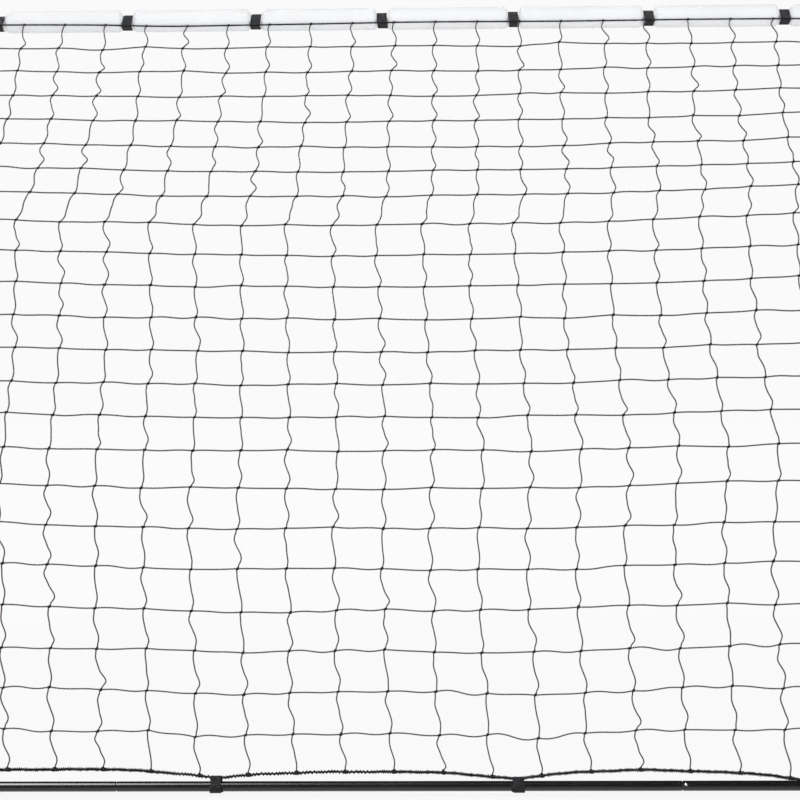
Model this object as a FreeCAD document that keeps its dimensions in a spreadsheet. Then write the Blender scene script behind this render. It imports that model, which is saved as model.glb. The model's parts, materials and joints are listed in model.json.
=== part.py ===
import FreeCAD, Part

import math
import os

import Sketcher
from FreeCAD import Placement, Rotation, Vector

# A net that hangs from a padded rail on two poles and runs forward to a sectional tube on the ground.
# X runs along the rail, Y points from the ground tube to the poles, Z is up and the floor is at Z = 0.

SIZES = (
    ("mesh_pitch", 105, "spacing of the net's upright strings along the rail"),
    ("mesh_columns", 34, "meshes across the net"),
    ("side_gap", 33, "from the net's side rope to the axis of the side stay"),
    ("section_pitch", 1220, "seam to seam on the middle section of the long tubes"),
    ("axis_height", 18, "ground tubes' axis above the floor"),
    ("rail_height", 1802.5, "rail axis above the floor"),
    ("rail_setback", 732, "rail axis behind the ground tube's axis"),
    ("first_bend_height", 740, "stay's lower bend above the floor"),
    ("second_bend_height", 1248, "stay's upper bend above the floor"),
    ("second_bend_setback", 262, "stay's upper bend behind the ground tube's axis"),
    ("stay_bend_radius", 150, "bend radius of the stays' tube axis"),
    ("pole_joint_height", 900, "seam of the two-piece poles above the floor"),
    ("tube_radius", 11, "outside of every frame tube"),
    ("tube_wall", 1.2, "wall of every frame tube"),
    ("plug_length", 60, "swaged end that enters the next tube"),
    ("plug_fit", 0.08, "radial clearance of a swaged end in the next tube"),
    ("plug_lead", 2, "tapered lead at the tip of a swaged end"),
    ("shoulder_taper", 1.6, "length over which a tube narrows to its swaged end"),
    ("mouth_chamfer", 0.5, "chamfer round the mouth that takes a swaged end"),
    ("seam_gap", 1.2, "gap left between two tube sections"),
    ("fitting_radius", 15, "outside of the moulded sockets"),
    ("socket_fit", 0.08, "radial clearance of a tube in its socket"),
    ("socket_depth", 48, "mouth of a square socket from the fitting's centre"),
    ("socket_start", 14, "end of the tube from the fitting's centre, square sockets"),
    ("slant_depth", 82, "mouth of the pole and stay sockets from the top fitting's centre"),
    ("slant_start", 36, "tube ends from the top fitting's centre in those sockets"),
    ("collar_height", 1.5, "bead round a socket's mouth, above the socket"),
    ("collar_length", 6, "length of that bead"),
    ("sole_size", 44, "side of the square sole under a ground fitting"),
    ("sole_height", 8, "height of the sole"),
    ("sole_corner", 6, "corner radius of the sole"),
    ("screw_radius", 2.5, "shank of a socket screw"),
    ("screw_fit", 0.1, "radial clearance of the screw in the socket wall"),
    ("screw_head_radius", 4.5, "head of a socket screw"),
    ("screw_head_height", 2.6, "height of the head"),
    ("screw_key_radius", 1.7, "hexagon recess of the head, to its corners"),
    ("screw_key_depth", 1.4, "depth of the recess"),
    ("button_radius", 3.4, "snap button"),
    ("button_fit", 0.1, "radial clearance of the button in its holes"),
    ("button_inset", 7.5, "button's centre past the seam"),
    ("button_proud", 2.5, "button above the tube"),
    ("button_dome", 1.8, "rounding of the button's rim"),
    ("front_button_turn", 26, "degrees by which the ground tube's front button is turned upwards"),
    ("flange_radius", 4.6, "flange that keeps the button in"),
    ("flange_thickness", 1, "thickness of the flange"),
    ("leaf_width", 6, "leaf spring under a button"),
    ("leaf_thickness", 0.6, "thickness of that spring"),
    ("leaf_length", 22, "straight arms of that spring past the button"),
    ("sleeve_radius", 27.5, "padded sleeve on the rail"),
    ("sleeve_skin", 0.9, "cover of the sleeve"),
    ("neck_radius", 17.2, "sleeve where a strap draws it in"),
    ("neck_margin", 0.8, "straight neck past each edge of the strap"),
    ("neck_shoulder", 9, "length over which the sleeve swells out again"),
    ("foam_clearance", 0.3, "from the foam to its cover and to the tube"),
    ("strap_width", 25, "hook-and-loop strap"),
    ("strap_thickness", 1.6, "thickness of the strap"),
    ("strap_clearance", 0.3, "from a strap to what it goes round"),
    ("top_strap_pitch", 326, "spacing of the straps on the rail"),
    ("top_strap_offset", -30, "middle strap on the rail from the frame's middle"),
    ("middle_foam_straps", 3, "straps round the middle foam tube"),
    ("bottom_strap_pitch", 646, "spacing of the straps on the ground tube"),
    ("bottom_strap_offset", -397, "one strap on the ground tube from the frame's middle"),
    ("head_rope_radius", 2, "rope along the net's top edge"),
    ("head_rope_drop", 9, "head rope below the rail axis"),
    ("foot_rope_radius", 2.5, "rope along the net's bottom edge"),
    ("foot_rope_height", 36, "foot rope above the ground tube's axis, between straps"),
    ("foot_rope_dip", 18, "how far the foot rope's route turns down to a strap"),
    ("foot_rope_reach", 150, "length over which the foot rope climbs back"),
    ("foot_rope_bend", 0.45, "share of that climb taken up by the arc at a strap"),
    ("side_rope_radius", 2, "rope along each side of the net"),
    ("rope_clearance", 0.3, "from a rope to what it lies on"),
    ("net_bar", 3, "width of a net string"),
    ("net_thickness", 2, "thickness of a net string"),
    ("net_panel_columns", 25, "gaps across a net panel"),
    ("net_panel_rows", 4, "gaps up a net panel"),
    ("net_edge_gap", 0.35, "from a net panel to the strap, rope or bend beside it"),
)

SCREW_KEY_SIDES = 6
# How far each strap has slipped along its tube from its even place, from left to right, in mm.
RAIL_STRAP_SLIPS = (0, 0, -2, -5, -8, -17, -14, -2, 11, 4, 0)
GROUND_STRAP_SLIPS = (0, 0, 4, 9, -8, 0)
# Where the side straps sit on each straight stretch of a stay, as shares of the stretch.
SIDE_STRAP_STATIONS = ((0.22, 0.78), (0.24, 0.84), (0.3, 0.72))

document = FreeCAD.newDocument("net_on_poles")
sheet = document.addObject("Spreadsheet::Sheet", "sizes")
for sheet_row, (alias, number, note) in enumerate(SIZES, start=1):
    sheet.set(f"A{sheet_row}", alias)
    sheet.set(f"B{sheet_row}", str(number))
    sheet.setAlias(f"B{sheet_row}", alias)
    sheet.set(f"C{sheet_row}", note)
document.recompute()


class Size:
    """A length that knows both its number and the spreadsheet expression that gives it."""

    def __init__(self, number, text):
        self.number = float(number)
        self.text = text

    def __add__(self, other):
        other = as_size(other)
        return Size(self.number + other.number, f"({self.text} + {other.text})")

    def __sub__(self, other):
        other = as_size(other)
        return Size(self.number - other.number, f"({self.text} - {other.text})")

    def __mul__(self, factor):
        return Size(self.number * factor, f"({self.text} * {factor})")

    def __neg__(self):
        return self * -1


def as_size(thing):
    """The thing itself if it's a Size, or a plain number as one."""
    return thing if isinstance(thing, Size) else Size(thing, str(thing))


def cell(alias):
    """The named cell of the sheet as a Size."""
    return Size(sheet.get(alias), f"sizes.{alias}")


def num(alias):
    """The named cell of the sheet as a plain number."""
    return float(sheet.get(alias))


def count(alias):
    """The named cell of the sheet as a whole number."""
    return int(round(num(alias)))


# Places that several pieces share
HALF_NET = Size(num("mesh_pitch") * num("mesh_columns") / 2, "(sizes.mesh_pitch * sizes.mesh_columns / 2)")
HALF_SPAN = HALF_NET + cell("side_gap")
HALF_SECTION = cell("section_pitch") * 0.5
HALF_DEPTH = (cell("rail_setback") + cell("sleeve_radius") + cell("sole_size") * 0.5) * 0.5
FRONT_Y = cell("sole_size") * 0.5 - HALF_DEPTH
RAIL_Y = FRONT_Y + cell("rail_setback")
TUBE_BORE = cell("tube_radius") - cell("tube_wall")
PLUG_RADIUS = TUBE_BORE - cell("plug_fit")
PLUG_BORE = PLUG_RADIUS - cell("tube_wall")
SOCKET_BORE = cell("tube_radius") + cell("socket_fit")

ALONG_X = Vector(1, 0, 0)
ALONG_Y = Vector(0, 1, 0)
ALONG_Z = Vector(0, 0, 1)
SIDES = (("left", -1), ("right", 1))

kept = []


def keep(thing, name):
    """Names a finished sub-part, which is then written under that name."""
    thing.Label = name
    kept.append(thing)
    return thing


def direction_in_side_plane(start, end):
    """The unit vector from one (Y, Z) point to another."""
    return Vector(0, end[0] - start[0], end[1] - start[1]).normalize()


# The side view of the frame, as (Y, Z) points
GROUND_CORNER = (FRONT_Y.number, num("axis_height"))
FIRST_BEND = (FRONT_Y.number, num("first_bend_height"))
SECOND_BEND = (FRONT_Y.number + num("second_bend_setback"), num("second_bend_height"))
RAIL_AXIS = (RAIL_Y.number, num("rail_height"))
STAY_JOINT = ((FIRST_BEND[0] + SECOND_BEND[0]) / 2, (FIRST_BEND[1] + SECOND_BEND[1]) / 2)
MIDDLE_WAY = direction_in_side_plane(FIRST_BEND, SECOND_BEND)
UPPER_WAY = direction_in_side_plane(SECOND_BEND, RAIL_AXIS)

HEAD_ROPE_OUT = num("sleeve_radius") + num("head_rope_radius") + num("rope_clearance")
HEAD_ROPE = (
    RAIL_AXIS[0] - math.sqrt(HEAD_ROPE_OUT**2 - num("head_rope_drop") ** 2),
    RAIL_AXIS[1] - num("head_rope_drop"),
)
FOOT_ROPE = (GROUND_CORNER[0], GROUND_CORNER[1] + num("foot_rope_height"))


def at(x, point):
    """A point of the side view, at a place along the rail."""
    return Vector(x, point[0], point[1])


# Frame tubes: straight bodies turned from one outline


def origin_plane(body, role):
    return next(feature for feature in body.Origin.OriginFeatures if feature.Role == role)


def sketch_in(body, name, role):
    sketch = body.newObject("Sketcher::SketchObject", name)
    sketch.AttachmentSupport = (origin_plane(body, role), [""])
    sketch.MapMode = "FlatFace"
    return sketch


def hold_point(sketch, geometry, end, kind, size):
    """Holds one coordinate of a point at a size from the sketch's origin."""
    if size.number == 0:
        axis = -2 if kind == "DistanceX" else -1
        sketch.addConstraint(Sketcher.Constraint("PointOnObject", geometry, end, axis))
        return
    index = sketch.addConstraint(Sketcher.Constraint(kind, -1, 1, geometry, end, size.number))
    sketch.setExpression(f"Constraints[{index}]", size.text)


def draw_outline(sketch, corners):
    """A closed outline of straight lines, with each corner held by its own two sizes."""
    corners = [(as_size(across), as_size(up)) for across, up in corners]
    points = [Vector(across.number, up.number, 0) for across, up in corners]
    for start, end in zip(points, points[1:] + points[:1]):
        sketch.addGeometry(Part.LineSegment(start, end), False)
    for line in range(len(points)):
        following = (line + 1) % len(points)
        sketch.addConstraint(Sketcher.Constraint("Coincident", line, 2, following, 1))
    for line, (across, up) in enumerate(corners):
        hold_point(sketch, line, 1, "DistanceX", across)
        hold_point(sketch, line, 1, "DistanceY", up)


def revolve(body, sketch, axis):
    turned = body.newObject("PartDesign::Revolution", f"{body.Name}_turned")
    turned.Profile = sketch
    turned.ReferenceAxis = (sketch, [axis])
    turned.Angle = 360
    sketch.Visibility = False
    return turned


def side_hole(body, name, position, radius, turn):
    """A round hole through one wall of a tube along the body's X axis, turned from its Z axis in degrees."""
    before = body.Shape.Volume
    sketch = sketch_in(body, name, "XY_Plane")
    sketch.AttachmentOffset = Placement(Vector(), Rotation(ALONG_X, turn))
    sketch.addGeometry(Part.Circle(Vector(position.number, 0, 0), ALONG_Z, radius.number), False)
    hold_point(sketch, 0, 3, "DistanceX", position)
    sketch.addConstraint(Sketcher.Constraint("PointOnObject", 0, 3, -1))
    index = sketch.addConstraint(Sketcher.Constraint("Radius", 0, radius.number))
    sketch.setExpression(f"Constraints[{index}]", radius.text)
    pocket = body.newObject("PartDesign::Pocket", f"{name}_cut")
    pocket.Profile = sketch
    pocket.Type = 1
    pocket.Reversed = True
    document.recompute()
    if not body.Shape.Volume < before:
        raise ValueError(f"{name} cuts nothing")


def place(thing, origin, along, up):
    """Puts a thing's own X axis along one direction and its Z axis towards another."""
    sideways = up.cross(along)
    thing.Placement = Placement(origin, Rotation(along, sideways, up, "XZY"))


def tube(name, length, origin, along, up, ends=(), holes=()):
    """A frame tube from its origin along one direction.

    Its ends can be a mouth, at the origin, and a plug, which is the swaged end past its length.
    """
    body = document.addObject("PartDesign::Body", name)
    outside = cell("tube_radius")
    outline = [(0, TUBE_BORE)]
    if "mouth" in ends:
        chamfer = cell("mouth_chamfer")
        outline += [(0, outside - chamfer), (chamfer, outside)]
    else:
        outline += [(0, outside)]
    if "plug" in ends:
        shoulder = length - cell("shoulder_taper")
        tip = length + cell("plug_length")
        lead = tip - cell("plug_lead")
        tip_radius = PLUG_RADIUS - cell("tube_wall") * 0.5
        outline += [(shoulder, outside), (length, PLUG_RADIUS), (lead, PLUG_RADIUS), (tip, tip_radius)]
        outline += [(tip, PLUG_BORE), (length, PLUG_BORE), (shoulder, TUBE_BORE)]
    else:
        outline += [(length, outside), (length, TUBE_BORE)]
    sketch = sketch_in(body, f"{name}_outline", "XZ_Plane")
    draw_outline(sketch, outline)
    revolve(body, sketch, "H_Axis")
    document.recompute()
    hole_radius = cell("button_radius") + cell("button_fit")
    for number, (position, turn) in enumerate(holes):
        side_hole(body, f"{name}_hole{number}", position, hole_radius, turn)
    place(body, origin, along, up)
    return keep(body, name)


def long_tube(names, y, z, with_buttons):
    """Three sections along X, each with its right end swaged into the next one.

    The left seam's button faces back, and the right one's faces forward, turned a little upwards.
    """
    left_end = HALF_SPAN - cell("socket_start")
    outer_length = left_end - HALF_SECTION
    middle_length = cell("section_pitch") - cell("seam_gap")
    mouth_hole = cell("button_inset") - cell("seam_gap")
    inset = cell("button_inset")
    front_turn = 180 - num("front_button_turn")
    left_holes = [(outer_length + inset, 0)] if with_buttons else []
    middle_holes = [(mouth_hole, 0), (middle_length + inset, front_turn)] if with_buttons else []
    right_holes = [(mouth_hole, front_turn)] if with_buttons else []
    gap = num("seam_gap")
    starts = (-left_end.number, -HALF_SECTION.number + gap, HALF_SECTION.number + gap)
    lengths = (outer_length, middle_length, outer_length - cell("seam_gap"))
    holes = (left_holes, middle_holes, right_holes)
    ends = (("plug",), ("mouth", "plug"), ("mouth",))
    for number, name in enumerate(names):
        origin = Vector(starts[number], y, z)
        tube(name, lengths[number], origin, ALONG_X, ALONG_Y, ends[number], holes[number])


def poles():
    """Each pole stands in a foot, and its lower half is swaged into the upper one."""
    foot = cell("axis_height") + cell("socket_start")
    top = cell("rail_height") - cell("slant_start")
    joint = cell("pole_joint_height")
    for side, sign in SIDES:
        x = sign * HALF_SPAN.number
        outward = Vector(sign, 0, 0)
        lower_hole = [(joint - foot + cell("button_inset"), 0)]
        upper_hole = [(cell("button_inset") - cell("seam_gap"), 0)]
        lower_at = Vector(x, RAIL_Y.number, foot.number)
        upper_at = Vector(x, RAIL_Y.number, joint.number + num("seam_gap"))
        tube(f"pole_lower_{side}", joint - foot, lower_at, ALONG_Z, outward, ("plug",), lower_hole)
        upper_length = top - joint - cell("seam_gap")
        tube(f"pole_upper_{side}", upper_length, upper_at, ALONG_Z, outward, ("mouth",), upper_hole)


def ground_side_tubes():
    """From each front corner back to the pole's foot."""
    length = cell("rail_setback") - cell("socket_start") * 2
    for side, sign in SIDES:
        start = Vector(sign * HALF_SPAN.number, FRONT_Y.number + num("socket_start"), num("axis_height"))
        tube(f"ground_tube_{side}", length, start, ALONG_Y, ALONG_Z)


# Bent side stays and side ropes: a round section swept along straight runs with tangent arcs


def rounded_path(points, radius):
    """A wire through the points, with an arc of the given radius at each inner point."""
    edges = []
    start = points[0]
    for before, corner, after in zip(points, points[1:], points[2:]):
        incoming = (before - corner).normalize()
        outgoing = (after - corner).normalize()
        half_turn = (math.pi - incoming.getAngle(outgoing)) / 2
        setback = radius * math.tan(half_turn)
        middle_way = (incoming + outgoing).normalize()
        to_middle = radius / math.cos(half_turn) - radius
        arc_start = corner + incoming * setback
        arc_end = corner + outgoing * setback
        edges.append(Part.LineSegment(start, arc_start).toShape())
        edges.append(Part.Arc(arc_start, corner + middle_way * to_middle, arc_end).toShape())
        start = arc_end
    edges.append(Part.LineSegment(start, points[-1]).toShape())
    return Part.Wire(edges)


def swept_rod(path, radius):
    """A round rod along a wire, tested against its section times its length."""
    first = path.Edges[0]
    start = first.valueAt(first.FirstParameter)
    way = first.tangentAt(first.FirstParameter)
    ring = Part.Wire([Part.makeCircle(radius, start, way)])
    rod = path.makePipeShell([ring], True, True)
    wanted = math.pi * radius**2 * path.Length
    if abs(rod.Volume - wanted) > 0.002 * wanted:
        raise ValueError("a swept rod has the wrong volume")
    return rod


def shape_node(name, shape):
    """A sub-part whose shape is worked out here from the sheet's sizes."""
    thing = document.addObject("Part::Feature", name)
    thing.Shape = shape
    return keep(thing, name)


def button_hole(shape, centre, outward):
    """Cuts a snap button's hole through the wall on the outward side."""
    radius = num("button_radius") + num("button_fit")
    return shape.cut(Part.makeCylinder(radius, num("tube_radius") * 2, centre, outward))


def mouth_rim(shape, mouth):
    """The outer edge of a round tube's end face."""
    near = num("plug_fit")
    ends = [edge for edge in shape.Edges if edge.Closed and (edge.CenterOfMass - mouth).Length < near]
    return max(ends, key=lambda edge: edge.Length)


def swaged_end(joint, way, radius, plug_radius):
    """The taper before a joint and the plug past it, as one solid rod."""
    taper = num("shoulder_taper")
    shoulder = Part.makeCone(radius, plug_radius, taper, joint - way * taper, way)
    return shoulder.fuse(Part.makeCylinder(plug_radius, num("plug_length"), joint, way))


def stays():
    """The two halves of each bent stay, joined on the straight stretch between the bends."""
    bore = TUBE_BORE.number
    outside = num("tube_radius")
    foot = (GROUND_CORNER[0], GROUND_CORNER[1] + num("socket_start"))
    for side, sign in SIDES:
        x = sign * HALF_SPAN.number
        joint = at(x, STAY_JOINT)
        button_at = joint + MIDDLE_WAY * num("button_inset")
        outward = Vector(sign, 0, 0)

        lower_end = joint - MIDDLE_WAY * num("shoulder_taper")
        lower_path = rounded_path([at(x, foot), at(x, FIRST_BEND), lower_end], num("stay_bend_radius"))
        end_outside = swaged_end(joint, MIDDLE_WAY, outside, PLUG_RADIUS.number)
        end_bore = swaged_end(joint, MIDDLE_WAY, bore, PLUG_BORE.number)
        hollow = swept_rod(lower_path, bore).fuse(end_bore)
        lower = swept_rod(lower_path, outside).fuse(end_outside).cut(hollow).removeSplitter()
        shape_node(f"stay_lower_{side}", button_hole(lower, button_at, outward))

        mouth = joint + MIDDLE_WAY * num("seam_gap")
        top = at(x, RAIL_AXIS) - UPPER_WAY * num("slant_start")
        upper_path = rounded_path([mouth, at(x, SECOND_BEND), top], num("stay_bend_radius"))
        upper = swept_rod(upper_path, outside).cut(swept_rod(upper_path, bore))
        upper = upper.makeChamfer(num("mouth_chamfer"), [mouth_rim(upper, mouth)])
        shape_node(f"stay_upper_{side}", button_hole(upper, button_at, outward))


# Snap buttons and their leaf springs


def snap_button(name, centre, outward, along):
    """A flanged button turned about its own Z axis, with a rounded rim."""
    body = document.addObject("PartDesign::Body", name)
    radius = cell("button_radius")
    flange = cell("flange_radius")
    crest = cell("tube_radius") + cell("button_proud")
    seat = flange_seat()
    bottom = seat - num("flange_thickness")
    sketch = sketch_in(body, f"{name}_outline", "XZ_Plane")
    corners = [(0, bottom), (flange, bottom), (flange, seat), (radius, seat), (radius, crest), (0, crest)]
    draw_outline(sketch, corners)
    turned = revolve(body, sketch, "V_Axis")
    document.recompute()
    rims = [
        f"Edge{number}"
        for number, edge in enumerate(turned.Shape.Edges, start=1)
        if edge.Closed and abs(edge.CenterOfMass.z - crest.number) < num("button_fit")
    ]
    rim = body.newObject("PartDesign::Fillet", f"{name}_rim")
    rim.Base = (turned, rims)
    rim.setExpression("Radius", "sizes.button_dome")
    document.recompute()
    body.Tip = rim
    place(body, centre, along, outward)
    keep(body, name)


def flange_seat():
    """How far from the tube's axis a flange lies against the round inside of the plug."""
    reach = math.sqrt(PLUG_BORE.number**2 - num("flange_radius") ** 2)
    return round(reach - num("button_fit"), 3)


def leaf_spring(name, centre, outward, along):
    """A flat spring bent into a U: one arm under the button's flange, the other on the tube's far wall."""
    thick = num("leaf_thickness")
    half_width = num("leaf_width") / 2
    upper = flange_seat() - num("flange_thickness") - num("button_fit")
    lower = -math.sqrt(PLUG_BORE.number**2 - half_width**2) + num("button_fit")
    middle = (upper + lower) / 2
    outer = (upper - lower) / 2
    start = -num("flange_radius")
    end = num("leaf_length")

    def half_loop(radius):
        ends = [Vector(end, 0, middle + radius), Vector(end, 0, middle - radius)]
        return Part.Arc(ends[0], Vector(end + radius, 0, middle), ends[1]).toShape()

    def arm(height):
        return Part.makeBox(end - start, num("leaf_width"), thick, Vector(start, -half_width, height))

    outer_loop = Part.Face(Part.Wire([half_loop(outer), closing_line(end, middle, outer)]))
    inner_loop = Part.Face(Part.Wire([half_loop(outer - thick), closing_line(end, middle, outer - thick)]))
    bend = outer_loop.cut(inner_loop).extrude(Vector(0, num("leaf_width"), 0))
    bend.translate(Vector(0, -half_width, 0))
    clip = bend.fuse([arm(upper - thick), arm(lower)]).removeSplitter()
    sideways = outward.cross(along)
    thing = shape_node(name, clip)
    thing.Placement = Placement(centre, Rotation(along, sideways, outward, "XZY"))


def closing_line(x, middle, radius):
    """The straight side of a half loop."""
    return Part.LineSegment(Vector(x, 0, middle - radius), Vector(x, 0, middle + radius)).toShape()


def snap_joints():
    """One button and one spring for each seam that can be taken apart."""
    inset = num("button_inset")
    half_section = HALF_SECTION.number
    y, z = GROUND_CORNER
    turn = math.radians(num("front_button_turn"))
    front_way = -ALONG_Y * math.cos(turn) + ALONG_Z * math.sin(turn)
    seats = [
        ("ground_left", Vector(inset - half_section, y, z), ALONG_Y, ALONG_X),
        ("ground_right", Vector(inset + half_section, y, z), front_way, ALONG_X),
    ]
    for side, sign in SIDES:
        x = sign * HALF_SPAN.number
        outward = Vector(sign, 0, 0)
        pole_at = Vector(x, RAIL_Y.number, num("pole_joint_height") + inset)
        seats.append((f"pole_{side}", pole_at, outward, ALONG_Z))
        seats.append((f"stay_{side}", at(x, STAY_JOINT) + MIDDLE_WAY * inset, outward, MIDDLE_WAY))
    for name, centre, outward, along in seats:
        snap_button(f"button_{name}", centre, outward, along)
        leaf_spring(f"button_spring_{name}", centre, outward, -along)


# Moulded fittings


def cylinder(name, radius, length, base, way):
    thing = document.addObject("Part::Cylinder", name)
    thing.setExpression("Radius", radius.text)
    thing.setExpression("Height", length.text)
    thing.Placement = Placement(base, Rotation(ALONG_Z, way))
    return thing


def fitting(name, centre, sockets, with_sole):
    """A moulded fitting. Each socket is (way, start, depth, screw way)."""
    solids = []
    cuts = []
    screw_hole = cell("screw_radius") + cell("screw_fit")
    core = document.addObject("Part::Sphere", f"{name}_core")
    core.setExpression("Radius", "sizes.fitting_radius")
    core.Placement.Base = centre
    solids.append(core)
    for number, (way, start, depth, screw_way) in enumerate(sockets):
        stem = f"{name}_socket{number}"
        collar = cell("fitting_radius") + cell("collar_height")
        collar_at = centre + way * (depth.number - num("collar_length"))
        solids.append(cylinder(stem, cell("fitting_radius"), depth, centre, way))
        solids.append(cylinder(f"{stem}_collar", collar, cell("collar_length"), collar_at, way))
        bore_at = centre + way * start.number
        cuts.append(cylinder(f"{stem}_bore", SOCKET_BORE, depth, bore_at, way))
        screw_at = centre + way * screw_station(start, depth)
        cuts.append(cylinder(f"{stem}_screw_hole", screw_hole, cell("fitting_radius") * 2, screw_at, screw_way))
    if with_sole:
        solids.append(sole(name, centre))
    joined = document.addObject("Part::MultiFuse", f"{name}_joined")
    joined.Shapes = solids
    tools = document.addObject("Part::MultiFuse", f"{name}_tools")
    tools.Shapes = cuts
    hollow = document.addObject("Part::Cut", name)
    hollow.Base = joined
    hollow.Tool = tools
    hollow.Refine = True
    return keep(hollow, name)


def sole(name, centre):
    """The flat square pad that a ground fitting stands on, with rounded corners."""
    block = document.addObject("Part::Box", f"{name}_block")
    block.setExpression("Length", "sizes.sole_size")
    block.setExpression("Width", "sizes.sole_size")
    block.setExpression("Height", "sizes.sole_height")
    half = num("sole_size") / 2
    block.Placement.Base = Vector(centre.x - half, centre.y - half, 0)
    document.recompute()
    pad = document.addObject("Part::Fillet", f"{name}_sole")
    pad.Base = block
    corner = num("sole_corner")
    pad.Edges = [
        (number, corner, corner)
        for number, edge in enumerate(block.Shape.Edges, start=1)
        if abs(edge.tangentAt(edge.FirstParameter).z) > 0.5
    ]
    return pad


def screw_station(start, depth):
    """Half way up the gripped length of a socket."""
    return (start.number + depth.number) / 2


def fitting_plans():
    """Every fitting as (name, centre, sockets, has a sole)."""
    square = (cell("socket_start"), cell("socket_depth"))
    slant = (cell("slant_start"), cell("slant_depth"))
    plans = []
    for side, sign in SIDES:
        x = sign * HALF_SPAN.number
        inward = Vector(-sign, 0, 0)
        outward = Vector(sign, 0, 0)
        corner_sockets = [
            (inward, *square, -ALONG_Y),
            (ALONG_Y, *square, outward),
            (ALONG_Z, *square, outward),
        ]
        foot_sockets = [(-ALONG_Y, *square, outward), (ALONG_Z, *square, outward)]
        top_sockets = [
            (inward, *square, ALONG_Z),
            (-ALONG_Z, *slant, outward),
            (-UPPER_WAY, *slant, outward),
        ]
        plans.append((f"ground_corner_{side}", at(x, GROUND_CORNER), corner_sockets, True))
        plans.append((f"pole_foot_{side}", Vector(x, RAIL_Y.number, num("axis_height")), foot_sockets, True))
        plans.append((f"top_corner_{side}", at(x, RAIL_AXIS), top_sockets, False))
    return plans


def socket_screw():
    """A button-head screw along Z, measured from the axis of the tube that it grips."""
    shank_from = num("tube_radius") + num("screw_fit")
    shank_length = num("fitting_radius") - shank_from
    head_at = Vector(0, 0, num("fitting_radius"))
    shank = Part.makeCylinder(num("screw_radius"), shank_length, Vector(0, 0, shank_from))
    head = Part.makeCylinder(num("screw_head_radius"), num("screw_head_height"), head_at)
    crest = num("fitting_radius") + num("screw_head_height")
    rim = [edge for edge in head.Edges if edge.Closed and abs(edge.CenterOfMass.z - crest) < num("screw_fit")]
    head = head.makeFillet(num("screw_head_height") * 0.5, rim)
    key_floor = crest - num("screw_key_depth")
    turns = [2 * math.pi * number / SCREW_KEY_SIDES for number in range(SCREW_KEY_SIDES + 1)]
    reach = num("screw_key_radius")
    key_outline = [Vector(reach * math.cos(turn), reach * math.sin(turn), key_floor) for turn in turns]
    key = Part.Face(Part.makePolygon(key_outline)).extrude(Vector(0, 0, num("screw_key_depth")))
    return shank.fuse(head).removeSplitter().cut(key)


def fittings():
    screw = socket_screw()
    screws = []
    for name, centre, sockets, with_sole in fitting_plans():
        fitting(name, centre, sockets, with_sole)
        for way, start, depth, screw_way in sockets:
            screw_at = centre + way * screw_station(start, depth)
            screws.append(screw.copy())
            screws[-1].Placement = Placement(screw_at, Rotation(ALONG_Z, screw_way))
    shape_node("socket_screws", Part.makeCompound(screws))


# The padded rail


def places_in_step(offset, pitch, limit):
    """Every place in step with the offset that is nearer to the middle than the limit."""
    furthest = math.ceil((limit + abs(offset)) / pitch)
    places = [offset + step * pitch for step in range(-furthest, furthest + 1)]
    return [x for x in places if abs(x) < limit]


def slipped(places, slips):
    """Each place moved along by its own slip."""
    return [place_x + slips[number % len(slips)] for number, place_x in enumerate(places)]


def padding_end():
    """Half the length of the padding, between the top fittings' sockets."""
    return HALF_SPAN.number - num("socket_depth") - num("foam_clearance")


def neck_half_length():
    """From a strap's middle to where the padding is full again."""
    return num("strap_width") / 2 + num("neck_margin") + num("neck_shoulder")


def top_strap_places():
    """The straps' places along the rail."""
    limit = padding_end() - neck_half_length() * 2
    even = places_in_step(num("top_strap_offset"), num("top_strap_pitch"), limit)
    return slipped(even, RAIL_STRAP_SLIPS)


def padded_edge(radius, neck, start, end):
    """The outside of the padding along the rail, drawn in to a neck under each strap."""
    shoulder = num("neck_shoulder")
    half_neck = neck_half_length() - shoulder
    edges = []
    here = Vector(start, 0, radius)
    for place_x in top_strap_places():
        if not start < place_x < end:
            continue
        for side, heights in ((-1, (radius, neck)), (1, (neck, radius))):
            inner = place_x + side * half_neck
            outer = inner + side * shoulder
            near, far = (outer, inner) if side < 0 else (inner, outer)
            first = Vector(near, 0, heights[0])
            last = Vector(far, 0, heights[1])
            bulge = Vector(outer - side * shoulder * 0.72, 0, neck + (radius - neck) * 0.66)
            edges.append(Part.LineSegment(here, first).toShape())
            edges.append(Part.Arc(first, bulge, last).toShape())
            here = last
    edges.append(Part.LineSegment(here, Vector(end, 0, radius)).toShape())
    return edges


def padded_solid(radius, neck, start, end, inside_edges):
    """Turns the padding's outside and its inside about the rail's axis."""
    outside = padded_edge(radius, neck, start, end)
    first_inside, last_inside = inside_edges[0].Vertexes[0].Point, inside_edges[-1].Vertexes[-1].Point
    start_line = Part.LineSegment(Vector(start, 0, radius), first_inside).toShape()
    end_line = Part.LineSegment(Vector(end, 0, radius), last_inside).toShape()
    edges = [*outside, end_line, *inside_edges, start_line]
    face = Part.Face(Part.Wire(Part.__sortEdges__(edges)))
    solid = face.revolve(Vector(0, 0, 0), ALONG_X, 360)
    solid.translate(Vector(0, RAIL_AXIS[0], RAIL_AXIS[1]))
    return solid


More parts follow.
